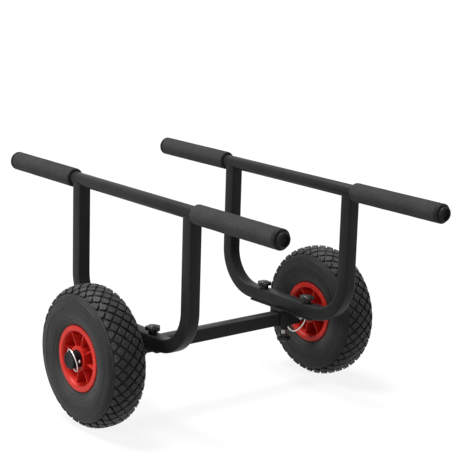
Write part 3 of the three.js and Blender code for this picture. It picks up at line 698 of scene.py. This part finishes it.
def onSection(distance):
    # point and outward normal at that distance from the crown; the other half has negative distances
    wanted = min(abs(distance), section[-1][0])
    index = next(i for i, row in enumerate(section) if row[0] >= wanted)
    low, high = section[max(index - 1, 0)], section[max(index, 1)]
    share = (wanted - low[0]) / (high[0] - low[0])
    point = low[1].lerp(high[1], share)
    before = section[max(index - tyre["normalReach"], 0)][1]
    after = section[min(index + tyre["normalReach"], len(section) - 1)][1]
    run = (after - before).normalized()
    normal = Vector((-run.y, run.x))
    if abs(distance) < tyre["crownHalf"]:
        normal = Vector((0, 1)).lerp(normal, abs(distance) / tyre["crownHalf"]).normalized()
    if distance < 0:
        point, normal = Vector((-point.x, point.y)), Vector((-normal.x, normal.y))
    return point, normal


def softStep(value, low, high):
    share = min(max((value - low) / (high - low), 0), 1)
    return share * share * (3 - 2 * share)


def skinHeight(distance):
    # height of the carcass over the envelope of the tread blocks
    height = (tread["depth"] - tread["drop"]) * softStep(distance, tread["rampFrom"], tread["rampTo"])
    height += tread["drop"] * softStep(distance, tread["rampTo"], tread["dropTo"]) - tread["depth"]
    for place, rise, width in ridges:
        height += rise * (1 - softStep(abs(distance - place), 0, width))
    return height


def makeCarcass():
    length = section[-1][0]
    stops = [tyre["stopEvery"] * i for i in range(int(length / tyre["stopEvery"]) + 1)]
    # more stops down the ramp and over each ridge
    stops += [tread["rampFrom"] + i for i in range(5)]
    for place, _, width in ridges:
        stops += [place + width * share / 2 for share in range(-2, 3)]
    stops = sorted(stop for stop in set(stops) if stop < length - tyre["lastGap"]) + [length]
    half = []
    for stop in stops:
        point, normal = onSection(stop)
        half.append(point + normal * skinHeight(stop))
    beadBack = tyre["beadFace"] - tyre["beadWidth"]
    half += [
        Vector((tyre["crease"], tyre["flange"])),
        Vector((tyre["beadFace"], tyre["flange"])),
        Vector((tyre["beadFace"], tyre["seat"])),
        Vector((beadBack, tyre["seat"])),
        Vector((beadBack, tyre["beadTop"])),
    ]
    angles = range(tyre["innerFrom"], 90, tyre["innerStep"])
    half += [sectionPoint(math.radians(angle), tyre["wall"]) for angle in angles]
    inner = sectionPoint(math.pi / 2, tyre["wall"])
    outline = [(p.x, p.y) for p in half] + [(inner.x, inner.y)]
    outline += [(-p.x, p.y) for p in reversed(half[1:])]
    return turned("leftTyre", outline, "X", wheelMiddle, tyre["steps"])


def makeBlock():
    # one rounded diamond of the tread, flat: x across the tyre, y along it, z up from the groove's floor
    halfAcross = tread["row"]
    halfAlong = math.pi * tyre["radius"] / tread["pitches"]
    side = halfAcross * halfAlong / math.hypot(halfAcross, halfAlong)
    share = 1 - tread["groove"] / 2 / side
    restart()
    bpy.ops.mesh.primitive_grid_add(x_subdivisions=3, y_subdivisions=3, size=math.sqrt(2))
    piece = bpy.context.object
    piece.rotation_euler = (0, 0, math.pi / 4)
    applyPlace(piece)
    piece.scale = (halfAcross * share * mm, halfAlong * share * mm, 1)
    applyPlace(piece)
    corner = min(halfAcross, halfAlong) * share * tread["cornerFrom"] * mm
    for vertex in piece.data.vertices:
        if vertex.co.length > corner:
            vertex.co *= tread["cornerShare"]
    edit("FACE")
    bpy.ops.transform.translate(value=(0, 0, -tread["sunk"] * mm))
    pull(0, 0, tread["depth"] + tread["sunk"])
    tidyMesh()
    done()
    return rounded(piece, tread["bevel"], 1, 60)


def makeTread():
    block = makeBlock()
    pitch = 2 * math.pi * tyre["radius"] / tread["pitches"]
    rows = []
    for row in range(-tread["rows"], tread["rows"] + 1):
        offset = pitch / 2 if row % 2 else 0
        rows.append(copied(block, f"treadRow{row}", (row * tread["row"], offset, 0)))
    bpy.data.objects.remove(block)
    piece = joined(*rows)
    edit()
    for side in (-1, 1):
        selectAll()
        edge = (side * tread["edge"] * mm, 0, 0)
        bpy.ops.mesh.bisect(plane_co=edge, plane_no=(side, 0, 0), use_fill=True, clear_outer=True)
    done()
    for vertex in piece.data.vertices:
        across, along, up = vertex.co / mm
        point, normal = onSection(across)
        point = point + normal * (up - tread["depth"])
        angle = along / tyre["radius"]
        arm = Vector((point.x, point.y * math.sin(angle), point.y * math.cos(angle)))
        vertex.co = (wheelMiddle + arm) * mm
    edit()
    faceOutward()
    steps = tread["pitches"] - 1
    sweep = 2 * math.pi * steps / tread["pitches"]
    bpy.ops.mesh.spin(steps=steps, angle=sweep, center=wheelMiddle * mm, axis=(1, 0, 0), dupli=True)
    done()
    return piece


def makeNubs():
    # the small vents left by the mould, in two rings on each side wall
    nubs = []
    for distance, count, turn in nub["rings"]:
        for side in (-1, 1):
            point, normal = onSection(side * distance)
            for number in range(count):
                restart()
                angle = 2 * math.pi * (number + turn) / count
                spin = Matrix.Rotation(angle, 3, "X")
                foot = spin @ Vector((point.x, 0, point.y))
                way = spin @ Vector((normal.x, 0, normal.y))
                middle = foot + way * ((nub["height"] - nub["sunk"]) / 2)
                bpy.ops.mesh.primitive_cone_add(
                    vertices=8,
                    radius1=nub["radius"] * mm,
                    radius2=nub["radius"] * nub["tipShare"] * mm,
                    depth=(nub["height"] + nub["sunk"]) * mm,
                    location=middle * mm,
                    rotation=way.to_track_quat("Z", "Y").to_euler(),
                )
                piece = bpy.context.object
                piece.location += wheelMiddle * mm
                applyPlace(piece)
                nubs.append(piece)
    piece = joined(*nubs)
    attribute = piece.data.attributes.new("relief", "FLOAT", "POINT")
    for target in attribute.data:
        target.value = reliefOf["nub"]
    return piece


def markRelief(piece):
    # 1 on the tops of the tread's blocks, 0 in its grooves and a middling value on the side walls
    relief = piece.data.attributes.new("relief", "FLOAT", "POINT")
    for vertex, target in zip(piece.data.vertices, relief.data):
        across = abs(vertex.co.x / mm + cart["wheel"])
        radius = math.hypot(vertex.co.y, vertex.co.z - cart["axle"] * mm) / mm
        row = next((row for row in section if row[1].x >= across), section[-1])
        target.value = reliefOf["sideWall"]
        if row[0] < tread["rampTo"] and radius > tyre["middle"]:
            normal = onSection(row[0])[1]
            target.value = min(max(1 - (row[1].y - radius) * normal.y / tread["depth"], 0), 1)


def makeTyre():
    piece = joined(makeCarcass(), makeTread())
    markRelief(piece)
    joined(piece, makeNubs())
    return smoothed(piece, 38)


rim = {"face": 33.75, "flange": 60.75, "flangeThick": 4.2, "seat": 52.5, "barrel": 48.5, "crown": 2.4}
rim.update(lipDepth=5, lipFlare=2, lipEdge=1.2, lipDrop=0.4, lipRise=1, backEdge=0.8, steps=96)
rim.update(web=2.5, hub=22.5, hubHalf=33, hubEdge=0.6, fillet=2, bore=16.3)
rib = {"count": 8, "half": 1.5, "face": 27.75, "turn": 12, "root": 1.2, "taper": 0.72, "bevel": 0.5}


def makeRib(turn):
    restart()
    low, high = rim["hub"] - rib["root"], rim["barrel"] + rib["root"]
    bpy.ops.mesh.primitive_cube_add(size=1, location=(0, 0, (low + high) / 2 * mm))
    piece = bpy.context.object
    piece.scale = (2 * rib["face"] * mm, 2 * rib["half"] * mm, (high - low) * mm)
    applyPlace(piece)
    edit()
    selectWhere("polygons", lambda middle, normal: abs(normal.x) > facing)
    bpy.ops.transform.resize(value=(1, rib["taper"], 1))
    done()
    rounded(piece, rib["bevel"])
    piece.rotation_euler = (turn - math.pi / 2, 0, 0)
    piece.location = wheelMiddle * mm
    applyPlace(piece)
    return piece


def makeRim():
    lipFrom, lipOut = rim["face"] - rim["crown"], rim["flange"] - rim["crown"]
    foot = rim["hubEdge"] + rim["fillet"]
    mouth = rim["barrel"] + rim["lipFlare"]
    back = rim["face"] - rim["flangeThick"]
    half = [
        (rim["hubHalf"], rim["bore"]),
        (rim["hubHalf"], rim["hub"] - rim["hubEdge"]),
        (rim["hubHalf"] - rim["hubEdge"], rim["hub"]),
        (rim["web"] + rim["fillet"], rim["hub"] + rim["hubEdge"]),
        (rim["web"], rim["hub"] + foot),
        (rim["web"], rim["barrel"] - foot),
        (rim["web"] + rim["fillet"], rim["barrel"] - rim["hubEdge"]),
        (rim["face"] - rim["lipDepth"], rim["barrel"]),
        (rim["face"] - rim["lipEdge"], mouth - rim["lipDrop"]),
        (rim["face"], mouth + rim["lipRise"]),
        *arc(lipFrom, lipOut, rim["crown"], 0, 90, 5),
        (back, rim["flange"] - rim["backEdge"]),
        (back, rim["seat"]),
    ]
    outline = half + [(-along, radius) for along, radius in reversed(half)]
    piece = turned("leftRim", outline, "X", wheelMiddle, rim["steps"])
    for number in range(rib["count"]):
        fused(piece, makeRib(math.radians(rib["turn"]) + 2 * math.pi * number / rib["count"]))
    return smoothed(piece, 30)


valve = {"offset": 14, "turn": 350, "base": 54.8, "neck": 40.54, "tip": 29.5, "radius": 3.7, "capRadius": 3}
# above the neck or the tip, and out from the cap's radius
valve["neckSteps"] = ((0, 0.3), (-0.8, -0.4), (-1.6, 0))
valve["capSteps"] = ((3.2, 0), (2.8, -0.7), (0.6, -0.9), (0, -1.4))
valve.update(flare=1.5, steps=32, bevel=0.15)


def makeValve():
    outline = [(valve["base"], 0), (valve["base"], valve["radius"])]
    outline.append((valve["neck"] + valve["flare"], valve["radius"]))
    for level, steps in (("neck", "neckSteps"), ("tip", "capSteps")):
        outline += [(valve[level] + along, valve["capRadius"] + out) for along, out in valve[steps]]
    outline.append((valve["tip"], 0))
    piece = turned("leftValve", outline, "Y", (0, 0, 0), valve["steps"], bevel=valve["bevel"])
    piece.rotation_euler = (math.radians(valve["turn"]), 0, 0)
    piece.location = (wheelMiddle - Vector((valve["offset"], 0, 0))) * mm
    applyPlace(piece)
    return smoothed(piece)


bush = {"bore": 12.8, "radius": 16, "length": 20, "outerFrom": 287.5, "innerFrom": 241.5, "bevel": 0.5}


def makeBush(name, start):
    return sleeve(name, bush, start, start + bush["length"], "X", axleLine, side=-1)


# Sliders, plates and clamp screws
slider = {"size": 30, "wall": 2, "corner": 3, "inner": 22, "outer": 30, "bevel": 0.35}
slider.update(pin=21, pinHole=3.3, pinReach=20, studHole=4.5, studDrop=16, studReach=8)


def makeSlider():
    start = (-cart["frame"] - slider["outer"], 0, cart["axle"])
    piece = tubeEnd("leftSlider", slider, start, (0, math.pi / 2, 0))
    pull(slider["inner"] + slider["outer"], 0, 0)
    tidyMesh()
    done()
    pinPlace = (-cart["frame"] - slider["pin"], 0, cart["axle"])
    studPlace = (-cart["frame"], 0, cart["axle"] - slider["studDrop"])
    cutAway(piece, rodCutter("Y", pinPlace, slider["pinHole"], slider["pinReach"]))
    cutAway(piece, rodCutter("Z", studPlace, slider["studHole"], slider["studReach"]))
    return smoothed(rounded(piece, slider["bevel"], 2, 50))


plate = {"low": 145.3, "thick": 3.5, "halfWidth": 12.5, "halfLength": 92, "corner": 2.5, "bevel": 0.5}
plate.update(saddle=16, inner=24, outer=30, weld=1.6, weldGap=0.2, weldOuter=4, weldInner=6)


def makePlate():
    restart()
    middle = Vector((-cart["frame"], 0, plate["low"] + plate["thick"] / 2)) * mm
    bpy.ops.mesh.primitive_cube_add(size=1, location=middle)
    piece = named("leftPlate")
    piece.scale = Vector((2 * plate["halfWidth"], 2 * plate["halfLength"], plate["thick"])) * mm
    applyPlace(piece)
    edit()
    for y in (-plate["saddle"], plate["saddle"]):
        selectAll()
        bpy.ops.mesh.bisect(plane_co=(0, y * mm, 0), plane_no=(0, 1, 0))
    limit = plate["saddle"] * mm
    for side, reach in ((1, plate["inner"]), (-1, plate["outer"])):
        selectWhere("polygons", lambda centre, normal: normal.x * side > facing and abs(centre.y) < limit)
        pull(side * (reach - plate["halfWidth"]), 0, 0)
    selectWhere("edges", lambda a, b: abs(a.z - b.z) > mm)
    bpy.ops.mesh.bevel(offset=plate["corner"] * mm, segments=4, affect="EDGES")
    done()
    rounded(piece, plate["bevel"], 2, 50)
    start = plate["weldOuter"] - plate["outer"] - cart["frame"]
    end = plate["inner"] - plate["weldInner"] - cart["frame"]
    y = slider["size"] / 2 + plate["weldGap"]
    z = plate["low"] - plate["weldGap"]
    for side in (-1, 1):
        line = [Vector((x, side * y, z)) for x in (start, end)]
        joined(piece, weldBead("plateWeld", line, plate["weld"]))
    return smoothed(piece)


weld = {"step": 0.9, "ripple": 0.22, "rippleSize": 1.6}


def weldBead(name, corners, diameter, closed=False):
    # a wire whose thickness ripples as a weld's does
    points = []
    loop = corners + [corners[0]] if closed else corners
    for a, b in zip(loop, loop[1:]):
        count = max(int((b - a).length / weld["step"]), 1)
        points += [a.lerp(b, i / count) for i in range(count)]
    if not closed:
        points.append(loop[-1])
    piece = wireAlong(name, points, diameter, 2, closed)
    for vertex in piece.data.vertices:
        vertex.co += noise.noise_vector(vertex.co / (weld["rippleSize"] * mm)) * weld["ripple"] * mm
    return piece


boss = {"low": 104.7, "high": 114.7, "bore": 4.3, "radius": 8, "bevel": 0.6, "steps": 48}
boss.update(weld=1.8, weldOut=0.4, weldDrop=0.6, weldSteps=36)


def makeBoss():
    line = (-cart["frame"], 0, 0)
    piece = sleeve("leftBoss", boss, boss["low"], boss["high"], "Z", line, steps=boss["steps"])
    radius = boss["radius"] + boss["weldOut"]
    ring = []
    for step in range(boss["weldSteps"]):
        angle = 2 * math.pi * step / boss["weldSteps"]
        x, y = radius * math.cos(angle) - cart["frame"], radius * math.sin(angle)
        ring.append(Vector((x, y, boss["high"] - boss["weldDrop"])))
    return smoothed(joined(piece, weldBead("bossWeld", ring, boss["weld"], True)))


stud = {"radius": 4, "root": 3.45, "pitch": 1.25, "chamfer": 0.8, "steps": 32}
clamp = {"low": 87, "high": 117.2, "threadLow": 88, "threadHigh": 116, "knob": 95.7}
fixing = {"low": 145.3, "high": 183.1, "threadLow": 160, "threadHigh": 182.2, "knob": 174.4}


def makeStud(name, levels):
    low, high = levels["low"], levels["high"]
    outline = [(low, 0), (low, stud["radius"] - stud["chamfer"]), (low + stud["chamfer"], stud["radius"])]
    z = levels["threadLow"]
    while z + stud["pitch"] < levels["threadHigh"]:
        outline += [(z, stud["radius"]), (z + stud["pitch"] / 2, stud["root"])]
        z += stud["pitch"]
    outline += [(z, stud["radius"]), (high - stud["chamfer"], stud["radius"])]
    outline += [(high, stud["radius"] - stud["chamfer"]), (high, 0)]
    return turned(name, outline, "Z", (-cart["frame"], 0, 0), stud["steps"])


# Star knobs
knob = {"radius": 14.5, "lobes": 5, "lobeDepth": 3.2, "lobePower": 1.3, "head": 7.5, "edge": 1.5}
knob.update(points=120, neck=8.5, neckHeight=5.5, dome=9.5, domeHeight=2.5, domeRise=0.3, domePower=0.8)
knob.update(steps=48, domeSteps=8)
# up from the neck's height or the head's top, and out from the neck's or the dome's radius
knob["collar"] = ((-1.5, 0), (0.4, 1.4), (2, 1.4))
knob["crown"] = ((-2, 0.2), (-0.6, 0.2), (0.3, -0.1))


def makeKnob():
    # standing at the height zero on the left frame's line, to be copied to its places
    restart()
    base = Vector((-cart["frame"], 0, knob["neckHeight"])) * mm
    radius = knob["radius"] * mm
    bpy.ops.mesh.primitive_circle_add(vertices=knob["points"], radius=radius, fill_type="NGON", location=base)
    piece = named("uprightKnob")
    applyPlace(piece)
    for vertex in piece.data.vertices:
        arm = Vector((vertex.co.x - base.x, vertex.co.y, 0))
        angle = math.atan2(arm.y, arm.x)
        dip = knob["lobeDepth"] * ((1 - math.cos(knob["lobes"] * angle)) / 2) ** knob["lobePower"]
        vertex.co -= arm.normalized() * dip * mm
    edit("FACE")
    pull(0, 0, knob["head"])
    selectAll()
    faceOutward()
    selectWhere("polygons", lambda middle, normal: abs(normal.z) > facing)
    bpy.ops.mesh.bevel(offset=knob["edge"] * mm, segments=4, affect="EDGES")
    done()
    top = knob["neckHeight"] + knob["head"]
    dome = [(0, 0), (0, knob["neck"])]
    dome += [(knob["neckHeight"] + up, knob["neck"] + out) for up, out in knob["collar"]]
    dome += [(top + up, knob["dome"] + out) for up, out in knob["crown"]]
    for step in range(1, knob["domeSteps"]):
        angle = math.pi / 2 * step / knob["domeSteps"]
        rise = knob["domeRise"] + (knob["domeHeight"] - knob["domeRise"]) * math.sin(angle)
        dome.append((top + rise, knob["dome"] * math.cos(angle) ** knob["domePower"]))
    dome.append((top + knob["domeHeight"], 0))
    core = turned("knobCore", dome, "Z", (-cart["frame"], 0, 0), knob["steps"])
    return smoothed(fused(piece, core), 34)


# Cradle frames, rails, grips and caps
tube = {"size": 25, "wall": 1.8, "corner": 3, "leg": 171, "bend": 76, "middle": 161.6, "top": 409.2}
tube.update(steps=16, saddleGap=0.3, saddleReach=220, weld=1.9, weldGap=0.1, weldInset=1.2, weldDrop=0.2)
tube["seamSteps"] = 6
rail = {"radius": 12.5, "bore": 10.7, "end": 400.5, "bevel": 0.3}


def makeFrame():
    x = -cart["frame"]
    bendY, bendZ = tube["leg"] - tube["bend"], tube["middle"] + tube["bend"]
    piece = tubeEnd("leftFrame", tube, (x, -tube["leg"], tube["top"]), (0, 0, 0))
    pull(0, 0, bendZ - tube["top"])
    for centreY in (-bendY, bendY):
        centre = Vector((x, centreY, bendZ)) * mm
        bpy.ops.mesh.spin(steps=tube["steps"], angle=math.pi / 2, center=centre, axis=(-1, 0, 0))
        if centreY < 0:
            pull(0, 2 * bendY, 0)
    pull(0, 0, tube["top"] - bendZ)
    tidyMesh()
    done()
    cutAway(piece, rodCutter("Y", railLine, rail["radius"] + tube["saddleGap"], tube["saddleReach"], 64))
    for side in (-1, 1):
        joined(piece, weldBead("railWeld", seamAt(x, side * tube["leg"]), tube["weld"], True))
    return smoothed(piece)


def seamAt(x, y):
    # where a leg's outside meets the round rail
    half = tube["size"] / 2 + tube["weldGap"]
    reach = rail["radius"] - tube["weldInset"]
    steps = tube["seamSteps"]
    corners = []
    for side in (1, -1):
        for step in range(-steps, steps + 1):
            across = -side * reach * step / steps
            drop = math.sqrt(max(rail["radius"] ** 2 - across ** 2, 0)) + tube["weldDrop"]
            corners.append(Vector((x + across, y + side * half, cart["rail"] - drop)))
    return corners


def makeRail():
    return sleeve("leftRail", rail, -rail["end"], rail["end"], "Y", railLine)


grip = {"frontFrom": 183.8, "rearFrom": 192.8, "to": 395.9, "bore": 12.8, "radius": 18, "round": 3}
grip.update(outerRound=1.6, step=5, lastGap=1, fill=0.9)
grip.update(wave=0.25, longWave=28, shortWave=9, shortShare=0.5, waveMiddle=0.6)


def makeGrip(name, start, side):
    outline = [(start, grip["bore"])]
    outline += arc(start + grip["round"], grip["radius"] - grip["round"], grip["round"], 180, 90, 5)
    y = start + grip["round"] + grip["step"]
    while y < grip["to"] - grip["outerRound"] - grip["lastGap"]:
        outline.append((y, grip["radius"]))
        y += grip["step"]
    outer = grip["outerRound"]
    outline += arc(grip["to"] - outer, grip["radius"] - outer, outer, 90, 0, 4)
    outline.append((grip["to"], grip["bore"]))
    piece = turned(name, outline, "Y", railLine, side=side)
    for vertex in piece.data.vertices:
        arm = vertex.co - railLine * mm
        arm.y = 0
        if arm.length > (grip["bore"] + 1) * mm:
            wave = noise.noise(vertex.co / (grip["longWave"] * mm)) - grip["waveMiddle"]
            wave += grip["shortShare"] * noise.noise(vertex.co / (grip["shortWave"] * mm))
            vertex.co += arm.normalized() * wave * grip["wave"] * mm
    return smoothed(piece, 50)


cap = {"from": 396.2, "step": 403.2, "to": 409, "floor": 400.8, "bore": 12.8, "radius": 17.9, "nose": 13.2}
cap.update(flangeEdge=1.8, noseEdge=1.2, recess=9, recessDepth=5.5, recessLip=0.6, recessDraft=0.4)
cap.update(button=3, buttonEdge=0.6, buttonHeight=0.8, steps=72, bevel=0.35)


def makeCap():
    floor = cap["to"] - cap["recessDepth"]
    return turned("leftFrontCap", [
        (cap["from"], cap["bore"]),
        (cap["from"], cap["radius"]),
        (cap["step"] - cap["flangeEdge"], cap["radius"]),
        (cap["step"], cap["radius"] - cap["flangeEdge"]),
        (cap["step"], cap["nose"]),
        (cap["to"] - cap["noseEdge"], cap["nose"]),
        (cap["to"], cap["nose"] - cap["noseEdge"]),
        (cap["to"], cap["recess"] + cap["recessLip"]),
        (floor, cap["recess"] - cap["recessDraft"]),
        (floor, cap["button"]),
        (floor + cap["buttonHeight"], cap["button"] - cap["buttonEdge"]),
        (floor + cap["buttonHeight"], 0),
        (cap["floor"], 0),
        (cap["floor"], cap["bore"]),
    ], "Y", railLine, cap["steps"], bevel=cap["bevel"], side=-1)


def bothSides(piece, finish, body, node, cradle=False, look=None):
    # settles a left-hand piece and its right-hand twin
    shift = (cart["rightShift"], 0, 0) if cradle else (0, 0, 0)
    twin = mirrored(piece, piece.name.replace("left", "right"), "X", shift)
    settle(piece, finish, body.format("left"), node.format("left"), look)
    settle(twin, finish, body.format("right"), node.format("right"), look)


print("axle")
makeBeam()
bothSides(makeShaft(), "black_paint", "axle", "axle_shaft_{}")
bothSides(makeSpacer(), "black_paint", "axle", "hub_spacer_{}")
bothSides(makeAxleCap(), "black_plastic", "axle", "axle_cap_{}")
bothSides(makePin(axlePin), "bright_zinc", "axle", "axle_pin_{}")
bothSides(makePinRing(), "bright_zinc", "{}_ring", "axle_pin_ring_{}")

print("wheels")
leftTyre = makeTyre()
rightTyre = copied(leftTyre, "rightTyre", (2 * cart["wheel"], 0, 0))
settle(leftTyre, "tyre_rubber", "left_wheel", "tyre_left")
settle(rightTyre, "tyre_rubber", "right_wheel", "tyre_right")
bothSides(makeRim(), "red_plastic", "{}_wheel", "rim_{}")
bothSides(makeValve(), "tube_rubber", "{}_wheel", "valve_{}")
bothSides(makeBush("leftOuterBush", bush["outerFrom"]), "black_plastic", "{}_wheel", "outer_bush_{}")
bothSides(makeBush("leftInnerBush", bush["innerFrom"]), "black_plastic", "{}_wheel", "inner_bush_{}")
for side in ("left", "right"):
    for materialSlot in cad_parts["inner_tube_" + side].material_slots:
        materialSlot.material = finishes["tube_rubber"]

print("sliders")
bothSides(makeSlider(), "black_paint", "{}_cradle", "slider_{}", True)
bothSides(makePlate(), "black_paint", "{}_cradle", "slider_plate_{}", True)
bothSides(makePin(sliderPin), "bright_zinc", "{}_cradle", "slider_pin_{}", True)
bothSides(makeBow(), "bright_zinc", "{}_bow", "slider_pin_bow_{}", True)
bothSides(makeBoss(), "black_paint", "{}_cradle", "clamp_boss_{}", True)
bothSides(makeStud("leftClampStud", clamp), "bright_zinc", "{}_clamp", "clamp_stud_{}", True)
uprightKnob = makeKnob()
clampKnob = mirrored(uprightKnob, "leftClampKnob", "Z", (0, 0, clamp["knob"]))
bothSides(clampKnob, "black_plastic", "{}_clamp", "clamp_knob_{}", True, "knob_plastic")

print("cradles")
bothSides(makeFrame(), "black_paint", "{}_cradle", "cradle_frame_{}", True)
bothSides(makeRail(), "black_paint", "{}_cradle", "rail_{}", True)
knobStud = makeStud("knobStud", fixing)
frontGrip = makeGrip("leftFrontGrip", grip["frontFrom"], -1)
rearGrip = makeGrip("leftRearGrip", grip["rearFrom"], 1)
frontCap = makeCap()
rearCap = mirrored(frontCap, "leftRearCap", "Y")
for end, side, foamPiece, capPiece in (("Front", -1, frontGrip, frontCap), ("Rear", 1, rearGrip, rearCap)):
    low = end.lower()
    knobY = side * cart["knob"]
    studPiece = copied(knobStud, f"left{end}Stud", (0, knobY, 0))
    knobPiece = copied(uprightKnob, f"left{end}Knob", (0, knobY, fixing["knob"]))
    bothSides(foamPiece, "grey_foam", "{}_cradle", "grip_{}_" + low, True)
    bothSides(capPiece, "black_plastic", "{}_cradle", "rail_cap_{}_" + low, True)
    bothSides(studPiece, "bright_zinc", "{}_" + low + "_knob", "frame_stud_{}_" + low, True)
    bothSides(knobPiece, "black_plastic", "{}_" + low + "_knob", "frame_knob_{}_" + low, True, "knob_plastic")
for pattern in (knobStud, uprightKnob):
    bpy.data.objects.remove(pattern)

# Floor, light and camera
studio = {"floor": 80, "floorColour": (0.4, 0.4, 0.4), "floorRough": 0.9, "floorGloss": 0.1}
studio.update(floorWhite=0.7, floorGlow=1.25, ambient=0.1, aim=(0, 0, 0.2))
lamps = (
    {"name": "topLamp", "kind": "SUN", "at": (-0.5, 1.0, 3.0), "size": 0.45, "power": 4.3},
    {"name": "leftLamp", "kind": "AREA", "at": (-3.0, 0.4, 1.2), "size": 1.4, "power": 50},
    {"name": "frontLamp", "kind": "AREA", "at": (0.9, -3.0, 1.4), "size": 2.4, "power": 12},
)
view = {"at": (-1.63254, -2.03937, 0.92564), "turn": -38.73, "tilt": 77.39, "roll": 1.63, "lens": 111.7}
view.update(shift=(0.027, -0.0152), clipEnd=50)


def makeFloor():
    restart()
    bpy.ops.mesh.primitive_plane_add(size=studio["floor"], location=(0, 0, 0))
    floor = named("floor")
    finish = Finish("pale floor")
    finish.set(colour=studio["floorColour"], rough=studio["floorRough"], gloss=studio["floorGloss"])
    glow = finish.node("Emission", {}, {"Color": (1, 1, 1), "Strength": studio["floorGlow"]})
    shaded = Socket(finish, finish.shader.outputs["BSDF"])
    share = finish.seenRay() * studio["floorWhite"]
    both = finish.node("MixShader", {}, {0: share, 1: shaded, 2: glow})
    finish.feed(finish.tree.nodes["Material Output"].inputs["Surface"], both)
    floor.data.materials.append(finish.material)


def makeWorld():
    world = bpy.data.worlds.new("studio")
    bpy.context.scene.world = world
    world.use_nodes = True
    sky = Shading(world.node_tree)
    strength = studio["ambient"] + sky.seenRay() * (1 - studio["ambient"])
    background = sky.tree.nodes["Background"]
    sky.feed(background.inputs["Color"], (1, 1, 1))
    sky.feed(background.inputs["Strength"], strength)


def makeLamps():
    for lamp in lamps:
        restart()
        bpy.ops.object.light_add(type=lamp["kind"], location=lamp["at"])
        light = bpy.context.object
        light.name = lamp["name"]
        light.data.energy = lamp["power"]
        if lamp["kind"] == "SUN":
            light.data.angle = lamp["size"]
        else:
            light.data.shape = "DISK"
            light.data.size = lamp["size"]
        aim = Vector(studio["aim"]) - Vector(lamp["at"])
        light.rotation_euler = aim.to_track_quat("-Z", "Y").to_euler()


def makeCamera():
    restart()
    bpy.ops.object.camera_add(location=view["at"])
    camera = bpy.context.object
    pose = Matrix.Identity(3)
    for key, axis in (("turn", "Z"), ("tilt", "X"), ("roll", "Z")):
        pose = pose @ Matrix.Rotation(math.radians(view[key]), 3, axis)
    camera.rotation_euler = pose.to_euler()
    camera.data.lens = view["lens"]
    camera.data.shift_x, camera.data.shift_y = view["shift"]
    camera.data.clip_end = view["clipEnd"]
    bpy.context.scene.camera = camera


print("studio")
makeFloor()
makeWorld()
makeLamps()
makeCamera()
bpy.context.scene.view_settings.view_transform = "Standard"

print("scene made")
